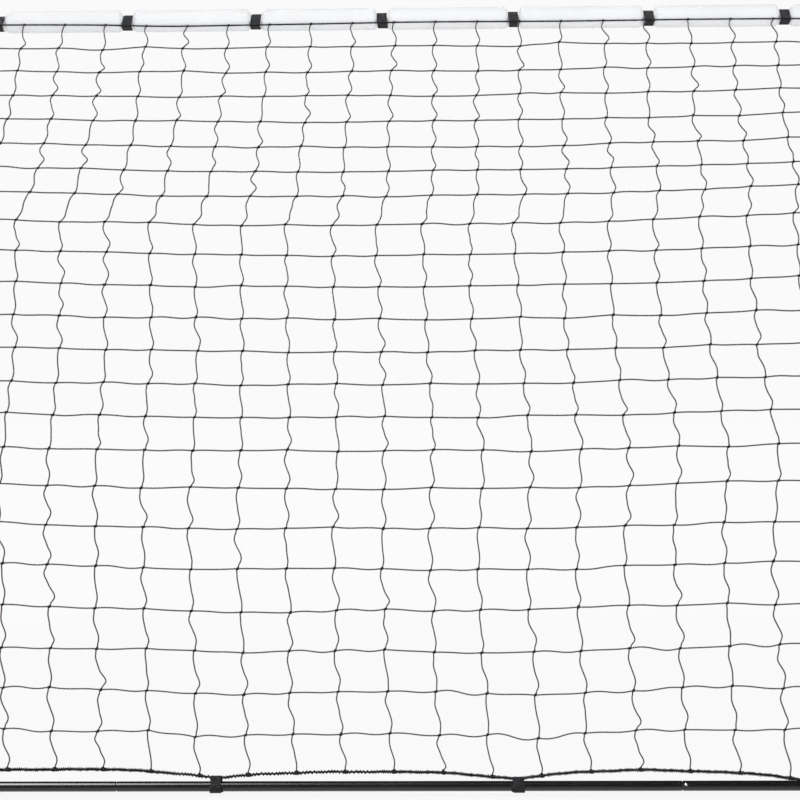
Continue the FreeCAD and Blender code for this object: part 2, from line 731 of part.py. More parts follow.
def rail_padding():
    """Three foam tubes end to end, in one cover. They meet half way between two straps."""
    end = padding_end()
    radius = num("sleeve_radius")
    neck = num("neck_radius")
    skin = num("sleeve_skin")
    cover_inside = padded_edge(radius - skin, neck - skin, -end, end)
    shape_node("rail_sleeve", padded_solid(radius, neck, -end, end, cover_inside))
    foam_radius = radius - skin - num("foam_clearance")
    foam_neck = neck - skin - num("foam_clearance")
    bore = num("tube_radius") + num("foam_clearance")
    half_middle = num("middle_foam_straps") * num("top_strap_pitch") / 2
    first_seam = num("top_strap_offset") - half_middle
    second_seam = num("top_strap_offset") + half_middle
    stretches = (("left", -end, first_seam), ("middle", first_seam, second_seam), ("right", second_seam, end))
    for side, start, stop in stretches:
        bore_edge = [Part.LineSegment(Vector(start, 0, bore), Vector(stop, 0, bore)).toShape()]
        shape_node(f"rail_foam_{side}", padded_solid(foam_radius, foam_neck, start, stop, bore_edge))


# Straps: a flat band round two round things


def belt_outline(first, first_radius, second, second_radius):
    """The tight loop round two circles, as two lines and two arcs, in the plane of X and Y."""
    apart = second - first
    spread = math.acos((first_radius - second_radius) / apart.Length)
    heading = math.atan2(apart.y, apart.x)

    def on(centre, radius, turn):
        return centre + Vector(math.cos(turn), math.sin(turn), 0) * radius

    first_ends = [on(first, first_radius, heading + turn) for turn in (spread, -spread)]
    second_ends = [on(second, second_radius, heading + turn) for turn in (spread, -spread)]
    round_first = Part.Arc(first_ends[0], on(first, first_radius, heading + math.pi), first_ends[1])
    round_second = Part.Arc(second_ends[1], on(second, second_radius, heading), second_ends[0])
    there = Part.LineSegment(first_ends[1], second_ends[1])
    back = Part.LineSegment(second_ends[0], first_ends[0])
    return Part.Wire([piece.toShape() for piece in (round_first, there, round_second, back)])


def strap(radius, rope_radius, rope_across, rope_up, frame):
    """A strap round a tube and a rope. The frame's Z axis is the tube's, and its origin is in the middle."""
    clear = num("strap_clearance")
    thick = num("strap_thickness")
    width = num("strap_width")
    tube_at = Vector(0, 0, 0)
    rope_at = Vector(rope_across, rope_up, 0)
    inside = (tube_at, radius + clear, rope_at, rope_radius + clear)
    outside = (tube_at, radius + clear + thick, rope_at, rope_radius + clear + thick)
    band = Part.Face(belt_outline(*outside)).cut(Part.Face(belt_outline(*inside)))
    loop = band.extrude(Vector(0, 0, width))
    loop.translate(Vector(0, 0, -width / 2))
    loop.Placement = frame.multiply(loop.Placement)
    return loop


def rail_straps():
    """Each draws the sleeve in and holds the head rope against its front."""
    across = HEAD_ROPE[0] - RAIL_AXIS[0]
    up = HEAD_ROPE[1] - RAIL_AXIS[1]
    along_rail = Rotation(ALONG_Y, ALONG_Z, ALONG_X, "ZXY")
    loops = []
    for x in top_strap_places():
        frame = Placement(at(x, RAIL_AXIS), along_rail)
        loops.append(strap(num("neck_radius"), num("head_rope_radius"), across, up, frame))
    shape_node("rail_straps", Part.makeCompound(loops))


def bottom_strap_places():
    """The straps' places along the ground tube, each with room for the foot rope's arc."""
    limit = HALF_NET.number - num("foot_rope_reach") * num("foot_rope_bend")
    even = places_in_step(num("bottom_strap_offset"), num("bottom_strap_pitch"), limit)
    return slipped(even, GROUND_STRAP_SLIPS)


def ground_straps():
    """Each ties the foot rope down to the ground tube."""
    radius, turn = foot_rope_arc()
    rise = radius / math.cos(turn) - radius
    up = num("foot_rope_height") - num("foot_rope_dip") + rise
    along_tube = Rotation(ALONG_Y, ALONG_Z, ALONG_X, "ZXY")
    loops = []
    for x in bottom_strap_places():
        frame = Placement(at(x, GROUND_CORNER), along_tube)
        loops.append(strap(num("tube_radius"), num("foot_rope_radius"), 0, up, frame))
    shape_node("ground_straps", Part.makeCompound(loops))


def side_strap_seats():
    """Where the side straps sit, as (point on the stay, its way, rope's offset square to that way)."""
    stay = (GROUND_CORNER, FIRST_BEND, SECOND_BEND, RAIL_AXIS)
    rope = (FOOT_ROPE, FIRST_BEND, SECOND_BEND, HEAD_ROPE)
    seats = []
    for number, stations in enumerate(SIDE_STRAP_STATIONS):
        start, end = at(0, stay[number]), at(0, stay[number + 1])
        way = (end - start).normalize()
        square = way.cross(ALONG_X)
        rope_start, rope_end = at(0, rope[number]), at(0, rope[number + 1])
        rope_way = (rope_end - rope_start).normalize()
        for share in stations:
            point = start + (end - start) * share
            run = (point - rope_start).dot(way) / rope_way.dot(way)
            offset = (rope_start + rope_way * run - point).dot(square)
            seats.append((point, way, square, offset))
    return seats


def side_straps():
    """Each ties a side rope to its stay."""
    for side, sign in SIDES:
        loops = []
        for point, way, square, offset in side_strap_seats():
            frame_turn = Rotation(ALONG_X, way.cross(ALONG_X), way, "ZXY")
            frame = Placement(point + ALONG_X * sign * HALF_SPAN.number, frame_turn)
            across = -sign * num("side_gap")
            loops.append(strap(num("tube_radius"), num("side_rope_radius"), across, offset, frame))
        shape_node(f"side_straps_{side}", Part.makeCompound(loops))


# Net and ropes


def foot_rope_arc():
    """The radius of the foot rope's arcs, and how steeply it climbs from a strap."""
    dip = num("foot_rope_dip")
    reach = num("foot_rope_reach")
    turn = math.atan2(dip, reach)
    return num("foot_rope_bend") * math.hypot(dip, reach) / math.tan(turn), turn


def foot_rope_points():
    """The foot rope's route: level between straps, with a dip at each one."""
    y, level = FOOT_ROPE
    reach = num("foot_rope_reach")
    half = HALF_NET.number
    points = []
    for x in bottom_strap_places():
        points.append(Vector(x - reach, y, level))
        points.append(Vector(x, y, level - num("foot_rope_dip")))
        points.append(Vector(x + reach, y, level))
    # A turn too near the net's corner to be rounded is left out.
    radius, turn = foot_rope_arc()
    limit = half - radius * math.tan(turn / 2)
    inside = [point for point in points if abs(point.x) < limit]
    return [foot_rope_end(-half), *inside, foot_rope_end(half)]


def foot_rope_end(x):
    """The foot rope's end at a corner of the net, which a strap close by pulls down."""
    y, level = FOOT_ROPE
    nearest = min(abs(place - x) for place in bottom_strap_places())
    pull = max(0.0, 1 - nearest / num("foot_rope_reach"))
    return Vector(x, y, level - num("foot_rope_dip") * pull)


def ropes():
    half = HALF_NET.number
    head_path = Part.Wire([Part.LineSegment(at(-half, HEAD_ROPE), at(half, HEAD_ROPE)).toShape()])
    shape_node("head_rope", swept_rod(head_path, num("head_rope_radius")))
    radius, turn = foot_rope_arc()
    print(f"foot rope arcs: radius {radius:.0f} mm")
    foot_path = rounded_path(foot_rope_points(), radius)
    shape_node("foot_rope", swept_rod(foot_path, num("foot_rope_radius")))
    bottom_clear = num("foot_rope_radius") + num("rope_clearance")
    top_clear = num("head_rope_radius") + num("rope_clearance")
    last_way = direction_in_side_plane(SECOND_BEND, HEAD_ROPE)
    for side, sign in SIDES:
        x = sign * half
        start = foot_rope_end(x) + ALONG_Z * bottom_clear
        end = at(x, HEAD_ROPE) - last_way * top_clear
        path = rounded_path([start, at(x, FIRST_BEND), at(x, SECOND_BEND), end], num("stay_bend_radius"))
        shape_node(f"side_rope_{side}", swept_rod(path, num("side_rope_radius")))


def past_a_strap(rope_radius):
    """From a rope's axis to the net, which stops short of the straps round that rope."""
    wrap = num("strap_clearance") + num("strap_thickness")
    return rope_radius + wrap + num("net_edge_gap")


def rectangle(left, low, right, high):
    corners = [Vector(left, low, 0), Vector(right, low, 0), Vector(right, high, 0), Vector(left, high, 0)]
    return Part.makePolygon([*corners, corners[0]])


def net_panel(name, low_point, high_point, low_clear, high_clear):
    """A flat stretch of the net: one face with its gaps, given the thickness of the string."""
    way = direction_in_side_plane(low_point, high_point)
    length = (at(0, high_point) - at(0, low_point)).Length - low_clear - high_clear
    half = HALF_NET.number - past_a_strap(num("side_rope_radius"))
    bar = num("net_bar")
    columns = count("net_panel_columns")
    rows = count("net_panel_rows")
    column_pitch = (2 * half - bar) / columns
    row_pitch = (length - bar) / rows
    gaps = []
    for column in range(columns):
        left = -half + bar + column * column_pitch
        for row in range(rows):
            low = bar + row * row_pitch
            gaps.append(rectangle(left, low, left + column_pitch - bar, low + row_pitch - bar))
    outline = rectangle(-half, 0, half, length)
    face = Part.makeFace([outline, *gaps], "Part::FaceMakerBullseye")
    sheet_of_net = face.extrude(Vector(0, 0, num("net_thickness")))
    sheet_of_net.translate(Vector(0, 0, -num("net_thickness") / 2))
    thing = shape_node(name, sheet_of_net)
    normal = ALONG_X.cross(way)
    thing.Placement = Placement(at(0, low_point) + way * low_clear, Rotation(ALONG_X, way, normal, "XYZ"))


def net():
    """The net's three flat stretches, between the ropes and the stays' bends."""
    edge = num("net_edge_gap")
    foot_clear = num("foot_rope_radius") + edge
    head_clear = past_a_strap(num("head_rope_radius"))
    net_panel("net_lower", FOOT_ROPE, FIRST_BEND, foot_clear, edge)
    net_panel("net_middle", FIRST_BEND, SECOND_BEND, edge, edge)
    net_panel("net_upper", SECOND_BEND, HEAD_ROPE, edge, head_clear)


def write_parts():
    """Checks every object, then writes each sub-part under its own name."""
    document.recompute()
    for thing in document.Objects:
        if {"Invalid", "Error"} & set(thing.State):
            raise ValueError(f"{thing.Name} is {thing.State}")
    for thing in kept:
        if thing.Shape.isNull() or not thing.Shape.isValid() or not thing.Shape.Solids:
            raise ValueError(f"{thing.Label} has no sound shape")
    os.makedirs("parts", exist_ok=True)
    for thing in kept:
        thing.Shape.exportStep(os.path.join("parts", f"{thing.Label}.step"))
        print(f"{thing.Label}: {len(thing.Shape.Solids)} solids, {thing.Shape.Volume / 1000:.1f} cubic cm")
    print(f"{len(kept)} sub-parts")


long_tube(("ground_tube_section_1", "ground_tube_section_2", "ground_tube_section_3"), *GROUND_CORNER, True)
long_tube(("rail_tube_section_1", "rail_tube_section_2", "rail_tube_section_3"), *RAIL_AXIS, False)
poles()
ground_side_tubes()
stays()
snap_joints()
fittings()
rail_padding()
rail_straps()
ground_straps()
side_straps()
ropes()
net()
write_parts()
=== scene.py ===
# %% [markdown]
# This lesson dresses a freestanding sports net. The frame under it is already made to size: black
# steel tubes, moulded corners, snap buttons and screws. What the frame can't show is the cloth, the
# webbing, the rope and the knotted twine, and the finish of each surface. Those are made here.
# The first step loads the frame, and everything after it reads its places from there.

# %% Load the frame
import json
import math

import bpy
import numpy as np
from mathutils import Matrix, Vector

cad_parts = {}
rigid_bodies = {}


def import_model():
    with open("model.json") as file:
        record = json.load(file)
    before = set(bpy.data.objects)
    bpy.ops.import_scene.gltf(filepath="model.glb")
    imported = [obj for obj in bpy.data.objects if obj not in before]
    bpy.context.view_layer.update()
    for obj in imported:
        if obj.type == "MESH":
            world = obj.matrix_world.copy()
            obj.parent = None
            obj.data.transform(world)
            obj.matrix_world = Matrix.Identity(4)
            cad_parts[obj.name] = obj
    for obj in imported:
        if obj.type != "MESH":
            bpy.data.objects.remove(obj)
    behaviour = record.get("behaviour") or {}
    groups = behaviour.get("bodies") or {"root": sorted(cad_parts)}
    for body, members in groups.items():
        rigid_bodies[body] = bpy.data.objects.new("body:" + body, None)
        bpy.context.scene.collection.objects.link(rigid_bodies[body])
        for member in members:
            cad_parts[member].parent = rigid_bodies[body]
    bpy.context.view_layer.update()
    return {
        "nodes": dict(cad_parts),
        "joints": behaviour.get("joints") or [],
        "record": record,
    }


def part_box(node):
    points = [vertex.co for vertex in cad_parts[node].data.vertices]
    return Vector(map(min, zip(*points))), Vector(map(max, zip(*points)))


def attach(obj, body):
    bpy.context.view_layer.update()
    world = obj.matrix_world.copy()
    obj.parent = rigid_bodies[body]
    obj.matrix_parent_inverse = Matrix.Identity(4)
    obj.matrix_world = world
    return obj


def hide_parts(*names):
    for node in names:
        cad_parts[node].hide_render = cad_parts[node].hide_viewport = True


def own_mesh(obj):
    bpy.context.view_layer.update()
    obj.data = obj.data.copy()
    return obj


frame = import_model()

MM = 0.001


# %% [markdown]
# The net hangs in a bent surface, so every knot needs a place on that surface. The side view of the
# net is four points: the foot rope, the two bends of the side stays and the head rope. They are read
# from the boxes of the frame's own pieces, so nothing has to be fitted by eye.

# %% Places that the frame gives
def centre_of(node):
    low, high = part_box(node)
    return (low + high) / 2


RAIL = centre_of("rail_tube_section_2")
GROUND = centre_of("ground_tube_section_2")
TUBE_RADIUS = (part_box("ground_tube_left")[1].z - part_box("ground_tube_left")[0].z) / 2
SLEEVE_RADIUS = (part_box("rail_sleeve")[1].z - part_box("rail_sleeve")[0].z) / 2
SLEEVE_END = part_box("rail_sleeve")[1].x
STAY_X = centre_of("stay_lower_right").x
HALF_NET = centre_of("side_rope_right").x
HEAD_ROPE = centre_of("head_rope")
FOOT_ROPE_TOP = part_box("foot_rope")[1].z
FIRST_BEND_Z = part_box("net_lower")[1].z
SECOND_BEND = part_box("net_middle")[1]

HEAD_ROPE_RADIUS = 2.0 * MM
FOOT_ROPE_RADIUS = 2.5 * MM
SIDE_ROPE_RADIUS = 2.0 * MM
FOOT_LEVEL = FOOT_ROPE_TOP - FOOT_ROPE_RADIUS

SIDE_VIEW = np.array([
    (GROUND.y, FOOT_LEVEL),
    (GROUND.y, FIRST_BEND_Z),
    (SECOND_BEND.y, SECOND_BEND.z),
    (HEAD_ROPE.y, HEAD_ROPE.z),
])
print("side view of the net (y, z):", SIDE_VIEW.round(4).tolist())


# %% [markdown]
# Straps are found in the frame too. Each strap node holds several loops, and the gaps between them
# along the rail or along the stay tell them apart, so one pass over the sorted vertices is enough.

# %% Find each strap's middle
def points_of(node):
    mesh = frame["nodes"][node].data
    flat = np.zeros(len(mesh.vertices) * 3, np.float32)
    mesh.vertices.foreach_get("co", flat)
    return flat.reshape(-1, 3).astype(float)


def loop_middles(node, axis, gap=0.05):
    """The middle of each loop in a node, where the loops lie apart along one axis."""
    points = points_of(node)
    points = points[np.argsort(points[:, axis])]
    cuts = np.nonzero(np.diff(points[:, axis]) > gap)[0] + 1
    return [(group.min(0) + group.max(0)) / 2 for group in np.split(points, cuts)]


RAIL_STRAPS = [float(middle[0]) for middle in loop_middles("rail_straps", 0)]
GROUND_STRAPS = [float(middle[0]) for middle in loop_middles("ground_straps", 0)]
SIDE_STRAPS = loop_middles("side_straps_right", 2)
print(len(RAIL_STRAPS), "rail straps,", len(GROUND_STRAPS), "ground straps,", len(SIDE_STRAPS), "a side")


# %% [markdown]
# The camera stands level, a little under the middle of the net's height, with a long lens, as for a
# catalogue picture. Its place was worked out from the two seams of the ground tube, the straps and
# the rail. It is set up first, because everything else is judged through it.

# %% Camera
CAMERA_PLACE = (0.098, -4.671, 0.884)
CAMERA_TURN = math.radians(1.2)
CAMERA_TIP = math.radians(-0.45)
CAMERA_ROLL = math.radians(-0.315)
LENS_MM = 90
SENSOR_MM = 36

camera_data = bpy.data.cameras.new("camera")
camera_data.lens = LENS_MM
camera_data.sensor_width = SENSOR_MM
camera = bpy.data.objects.new("camera", camera_data)
upright = Matrix.Rotation(math.radians(90) + CAMERA_TIP, 4, "X")
turned = Matrix.Rotation(CAMERA_TURN, 4, "Z") @ upright @ Matrix.Rotation(CAMERA_ROLL, 4, "Z")
camera.matrix_world = Matrix.Translation(CAMERA_PLACE) @ turned
bpy.context.scene.collection.objects.link(camera)
bpy.context.scene.camera = camera
bpy.context.scene.view_settings.view_transform = "Standard"
print("camera", camera_data.lens, "mm at", CAMERA_PLACE)


# %% [markdown]
# Every finish below is built from nodes. A few helpers keep that readable: one starts a material and
# hands back its tree, one adds a node and sets or links its inputs, and each of the others adds one
# common step, such as noise, a ramp of colours, chipped edges or a bump.

# %% Material helpers
EDGE_SAMPLES = 6
EDGE_FLAT = 0.985
EDGE_TURNED = 0.9
BLACK = (0, 0, 0)
WHITE = (1, 1, 1)


def start_material(name):
    material = bpy.data.materials.new(name)
    material.use_nodes = True
    return material, material.node_tree, material.node_tree.nodes["Principled BSDF"]


def set_inputs(tree, node, inputs):
    """Sets a node's inputs, by a link where the value is another node's socket."""
    for key, value in inputs.items():
        if isinstance(value, bpy.types.NodeSocket):
            tree.links.new(value, node.inputs[key])
        else:
            node.inputs[key].default_value = value


def add(tree, kind, inputs=None, **settings):
    """A new node with its settings and inputs."""
    node = tree.nodes.new(kind)
    for key, value in settings.items():
        setattr(node, key, value)
    set_inputs(tree, node, inputs or {})
    return node


def maths(tree, operation, first, second=0.0, third=0.0):
    return add(tree, "ShaderNodeMath", {0: first, 1: second, 2: third}, operation=operation).outputs[0]


def dot(tree, first, second):
    return add(tree, "ShaderNodeVectorMath", {0: first, 1: second}, operation="DOT_PRODUCT").outputs["Value"]


def ramp(tree, factor, stops):
    """A colour ramp from (place, colour) stops."""
    node = add(tree, "ShaderNodeValToRGB", {"Fac": factor})
    elements = node.color_ramp.elements
    while len(elements) < len(stops):
        elements.new(0.5)
    for element, (place, colour) in zip(elements, stops):
        element.position = place
        element.color = (*colour, 1)
    return node.outputs["Color"]


def spread(tree, value, low, high):
    """Stretches a value from 0..1 to low..high."""
    node = add(tree, "ShaderNodeMapRange", {"Value": value, "To Min": low, "To Max": high})
    return node.outputs["Result"]


def eased(tree, value, ends, results):
    """Takes a value from one pair of ends to another pair, with a soft start and a soft stop."""
    inputs = {"Value": value, "From Min": ends[0], "From Max": ends[1]}
    inputs.update({"To Min": results[0], "To Max": results[1]})
    return add(tree, "ShaderNodeMapRange", inputs, interpolation_type="SMOOTHSTEP").outputs["Result"]


def blend(tree, share, first, second, kind="RGBA"):
    """The first colour where the share is 0 and the second where it is 1, or the same with numbers."""
    inputs = {"Factor": share, "A": first, "B": second}
    return add(tree, "ShaderNodeMix", inputs, data_type=kind).outputs["Result"]


def object_place(tree):
    return add(tree, "ShaderNodeTexCoord").outputs["Object"]


def stretched(tree, place, scale):
    """A place scaled along each axis, so that a pattern drawn there comes out long and narrow."""
    return add(tree, "ShaderNodeMapping", {"Vector": place, "Scale": scale}).outputs[0]


def measured_run(tree):
    """How far across and along its piece a point lies, in metres."""
    run = add(tree, "ShaderNodeUVMap", uv_map="run").outputs[0]
    parts = add(tree, "ShaderNodeSeparateXYZ", {0: run})
    return parts.outputs[0], parts.outputs[1]


def noise(tree, place, scale, detail=3.0, rough=0.55):
    inputs = {"Vector": place, "Scale": scale, "Detail": detail, "Roughness": rough}
    return add(tree, "ShaderNodeTexNoise", inputs).outputs["Fac"]


def chipped_edges(tree, radius, grain, chip_from, chip_to):
    """1 on chips along outer edges, where a rounded normal turns away from the true one, and else 0."""
    rounded = add(tree, "ShaderNodeBevel", {"Radius": radius}, samples=EDGE_SAMPLES).outputs[0]
    true = add(tree, "ShaderNodeNewGeometry").outputs["Normal"]
    inputs = {"Value": dot(tree, rounded, true), "From Min": EDGE_FLAT, "From Max": EDGE_TURNED}
    edges = add(tree, "ShaderNodeMapRange", inputs).outputs["Result"]
    specks = noise(tree, object_place(tree), grain, 4.0, 0.7)
    chips = ramp(tree, specks, [(chip_from, BLACK), (chip_to, WHITE)])
    return maths(tree, "MULTIPLY", edges, chips)


def bump(tree, shader, height, strength, distance):
    node = add(tree, "ShaderNodeBump", {"Height": height, "Strength": strength, "Distance": distance})
    tree.links.new(node.outputs["Normal"], shader.inputs["Normal"])
    return node


def round_edges(tree, bumped, radius):
    """Rounds a piece's edges in its shading, under the bump that it has."""
    rounded = add(tree, "ShaderNodeBevel", {"Radius": radius}, samples=EDGE_SAMPLES)
    tree.links.new(rounded.outputs[0], bumped.inputs["Normal"])


# %% [markdown]
# The studio is plain: a pale floor, a pale room and soft lamps. The floor and the room show the same
# near-white to the camera and in reflections, by way of the Light Path node, so the object stands
# on clean white while its own light stays moderate. Close to the object the floor is partly a
# plain diffuse surface, which keeps its soft shadow. Reflections see a painted studio: a white floor
# that glows brightest just in front of the object and grows dark away from it, a dark room over it
# and one softbox high on the left. That painted reflection is what lets a glossy black tube look
# black on its upper side, with a bright stripe that fades to the right, and pale where it faces
# the floor.

# %% Floor and room
ROOM_WHITE = 0.955
ROOM_LIGHT = (0.97, 0.985, 1.0, 1)
ROOM_STRENGTH = 0.9
HORIZON_GLOW = 0.3
CEILING_DARK = 0.03
CEILING_FROM = 0.35
SOFTBOX_WAY = Vector((-0.62, -0.30, 0.72)).normalized()
SOFTBOX_EDGE = 0.8
SOFTBOX_HEART = 0.915
SOFTBOX_GLOW = 21.0
FLOOR_COLOUR = (0.88, 0.88, 0.88, 1)
FLOOR_DROP = 0.3 * MM
FLOOR_REACH = 40.0
FLOOR_GLOW = 0.965
FLOOR_NEAR_GLOW = 1.25
FLOOR_FAR_GLOW = 0.30
GLOW_NEAR = 0.015
GLOW_FAR = 0.16
SHADOW_SHARE = 0.1
SHADOW_FROM = 1.6
SHADOW_TO = 4.5


def seen_directly(tree):
    """1 for camera, glossy and transmission rays, else 0."""
    path = add(tree, "ShaderNodeLightPath")
    both = maths(tree, "ADD", path.outputs["Is Camera Ray"], path.outputs["Is Glossy Ray"])
    return maths(tree, "MINIMUM", maths(tree, "ADD", both, path.outputs["Is Transmission Ray"]), 1.0)


def floor_finish():
    material, tree, shader = start_material("studio_floor")
    set_inputs(tree, shader, {"Base Color": FLOOR_COLOUR, "Roughness": 0.9, "Specular IOR Level": 0.0})
    place = object_place(tree)
    ahead = maths(tree, "SUBTRACT", GROUND.y, add(tree, "ShaderNodeSeparateXYZ", {0: place}).outputs["Y"])
    # For glossy rays the floor glows brighter just in front of the object than further off: a painted
    # reflection.
    painted_floor_reflection = eased(tree, ahead, (GLOW_NEAR, GLOW_FAR), (FLOOR_NEAR_GLOW, FLOOR_FAR_GLOW))
    glossy = add(tree, "ShaderNodeLightPath").outputs["Is Glossy Ray"]
    level = blend(tree, glossy, FLOOR_GLOW, painted_floor_reflection, "FLOAT")
    glow = add(tree, "ShaderNodeEmission", {"Strength": level, "Color": (*WHITE, 1)})
    away = add(tree, "ShaderNodeVectorMath", {0: place}, operation="LENGTH").outputs["Value"]
    share = eased(tree, away, (SHADOW_FROM, SHADOW_TO), (1 - SHADOW_SHARE, 1.0))
    plain = maths(tree, "MULTIPLY", share, seen_directly(tree))
    mix = add(tree, "ShaderNodeMixShader", {0: plain, 1: shader.outputs[0], 2: glow.outputs[0]})
    tree.links.new(mix.outputs[0], tree.nodes["Material Output"].inputs["Surface"])
    return material


def make_floor():
    mesh = bpy.data.meshes.new("studio_floor")
    reach = FLOOR_REACH
    corners = [(-reach, -reach, 0), (reach, -reach, 0), (reach, reach, 0), (-reach, reach, 0)]
    mesh.from_pydata(corners, [], [(0, 1, 2, 3)])
    mesh.materials.append(floor_finish())
    floor = bpy.data.objects.new("studio_floor", mesh)
    floor.location.z = -FLOOR_DROP
    bpy.context.scene.collection.objects.link(floor)
    print("floor", 2 * reach, "m square")


def make_room():
    world = bpy.data.worlds.new("room")
    bpy.context.scene.world = world
    world.use_nodes = True
    tree = world.node_tree
    soft_light = tree.nodes["Background"]
    set_inputs(tree, soft_light, {"Color": ROOM_LIGHT, "Strength": ROOM_STRENGTH})
    direction = add(tree, "ShaderNodeTexCoord").outputs["Generated"]
    height = add(tree, "ShaderNodeSeparateXYZ", {0: direction}).outputs["Z"]
    studio = eased(tree, height, (0.0, CEILING_FROM), (HORIZON_GLOW, CEILING_DARK))
    facing = dot(tree, direction, SOFTBOX_WAY)
    softbox = eased(tree, facing, (SOFTBOX_EDGE, SOFTBOX_HEART), (0.0, SOFTBOX_GLOW))
    glossy = add(tree, "ShaderNodeLightPath").outputs["Is Glossy Ray"]
    behind = blend(tree, glossy, ROOM_WHITE, maths(tree, "ADD", studio, softbox), "FLOAT")
    white = add(tree, "ShaderNodeBackground", {"Color": (*WHITE, 1), "Strength": behind})
    sides = {0: seen_directly(tree), 1: soft_light.outputs[0], 2: white.outputs[0]}
    mix = add(tree, "ShaderNodeMixShader", sides)
    tree.links.new(mix.outputs[0], tree.nodes["World Output"].inputs["Surface"])
    print("room and one painted softbox")


make_floor()
make_room()


# %% [markdown]
# Three area lamps light it, all weak beside the even light of the room. One hangs high on the left,
# where the softbox is seen in reflections. A broad lamp low in front lifts what faces down, and one
# over the object keeps the rail's top from going grey. The lamps themselves don't show in
# reflections, since the room's painted softbox already does.

# %% Lamps
def add_lamp(name, place, aim, size, watts):
    data = bpy.data.lights.new(name, "AREA")
    data.shape = "RECTANGLE"
    data.size, data.size_y = size
    data.energy = watts
    lamp = bpy.data.objects.new(name, data)
    lamp.location = place
    lamp.rotation_euler = (Vector(aim) - Vector(place)).to_track_quat("-Z", "Y").to_euler()
    lamp.visible_camera = False
    lamp.visible_glossy = False
    bpy.context.scene.collection.objects.link(lamp)
    print(f"{name}: {watts} W")


add_lamp("high_lamp", place=(-2.6, -2.75, 5.0), aim=(-1.0, -0.1, 0.6), size=(3.0, 1.2), watts=5.5)
add_lamp("low_lamp", place=(0.4, -3.4, 0.55), aim=(0.1, 0.36, 1.8), size=(3.6, 0.9), watts=50)
add_lamp("top_lamp", place=(0.0, -0.3, 4.4), aim=(0, 0.36, 1.8), size=(4.5, 1.2), watts=7)


# %% [markdown]
# The frame's tube is steel with a satin black powder coat. Powder melts into a skin with a fine
# orange-peel surface, so the gloss breaks up a little at close range, and handling leaves long faint
# rubs along the tube. The colour is nearly black, and the interest is all in the roughness. At the
# rims, where one tube slides into the next, the powder is rubbed off and bare steel shines.

# %% Powder-coated tube
BARE_STEEL = (0.42, 0.41, 0.40, 1)


def powder_coat():
    material, tree, shader = start_material("black_powder_coat")
    place = object_place(tree)
    patches = noise(tree, place, 9.0, 4.0)
    colour = ramp(tree, patches, [(0.35, (0.005, 0.005, 0.006)), (0.7, (0.009, 0.009, 0.010))])
    wear = chipped_edges(tree, 0.7 * MM, 260.0, 0.42, 0.55)
    rubs = noise(tree, stretched(tree, place, (6, 45, 45)), 3.0, 6.0)
    set_inputs(tree, shader, {
        "Base Color": blend(tree, wear, colour, BARE_STEEL),
        "Metallic": wear,
        "Roughness": spread(tree, rubs, 0.2, 0.4),
        "Specular IOR Level": 0.1,
        "Coat Weight": 0.7,
        "Coat Roughness": 0.12,
    })
    peel = noise(tree, place, 620.0, 2.0)
    bump(tree, shader, peel, 0.25, 0.04 * MM)
    return material


# %% [markdown]
# Corners, pole feet and soles are moulded nylon. It has a fine spark-eroded grain, a duller surface
# than the tube and slightly rounded edges, which are scuffed paler where they knock against things.
# The Bevel node rounds the edges in the shading only, which is right for an edge of half a millimetre.

# %% Moulded plastic
SCUFF_GREY = (0.085, 0.085, 0.087, 1)


def moulded_plastic():
    material, tree, shader = start_material("moulded_black_plastic")
    place = object_place(tree)
    flow = noise(tree, place, 28.0, 3.0)
    colour = ramp(tree, flow, [(0.3, (0.017, 0.017, 0.018)), (0.75, (0.026, 0.026, 0.027))])
    scuffs = chipped_edges(tree, 1.0 * MM, 180.0, 0.4, 0.6)
    set_inputs(tree, shader, {
        "Base Color": blend(tree, scuffs, colour, SCUFF_GREY),
        "Roughness": spread(tree, flow, 0.42, 0.58),
    })
    grain = noise(tree, place, 1500.0, 2.0)
    round_edges(tree, bump(tree, shader, grain, 0.5, 0.05 * MM), 0.7 * MM)
    return material


# %% [markdown]
# The small metal pieces differ only a little: bright zinc on the snap buttons, rolled spring steel on
# the leaf springs and black oxide on the screws. One function makes all three from a colour, a
# roughness and how far the brushing shows.

# %% Small metal pieces
def small_metal(name, colour, roughness, brushing):
    material, tree, shader = start_material(name)
    place = object_place(tree)
    stain = noise(tree, place, 140.0, 4.0)
    darker = tuple(value * 0.78 for value in colour)
    set_inputs(tree, shader, {
        "Base Color": ramp(tree, stain, [(0.3, darker), (0.62, colour)]),
        "Roughness": spread(tree, stain, roughness, roughness + 0.16),
        "Metallic": 1.0,
    })
    strokes = noise(tree, stretched(tree, place, (1, 14, 1)), 900.0, 2.0)
    round_edges(tree, bump(tree, shader, strokes, brushing, 0.03 * MM), 0.25 * MM)
    return material


# %% [markdown]
# The frame's own rigid pieces keep their shapes, which are right, and only get these finishes. Each
# piece names its material in the frame's record, so one table of finishes dresses them all.

# %% Dress the rigid pieces
FINISHES = {
    "black_steel": powder_coat(),
    "black_plastic": moulded_plastic(),
    "button_steel": small_metal("zinc_plate", (0.74, 0.74, 0.73), 0.2, 0.25),
    "spring_steel": small_metal("rolled_spring_steel", (0.42, 0.42, 0.44), 0.3, 0.5),
    "screw_steel": small_metal("black_oxide", (0.07, 0.07, 0.075), 0.34, 0.3),
}


def dress_rigid_pieces():
    dressed = 0
    for entry in frame["record"]["subparts"]:
        finish = FINISHES.get(entry["material_slot"])
        if finish is None:
            continue
        for slot in frame["nodes"][entry["node"]].material_slots:
            slot.material = finish
        dressed += 1
    print("dressed", dressed, "rigid pieces")


dress_rigid_pieces()
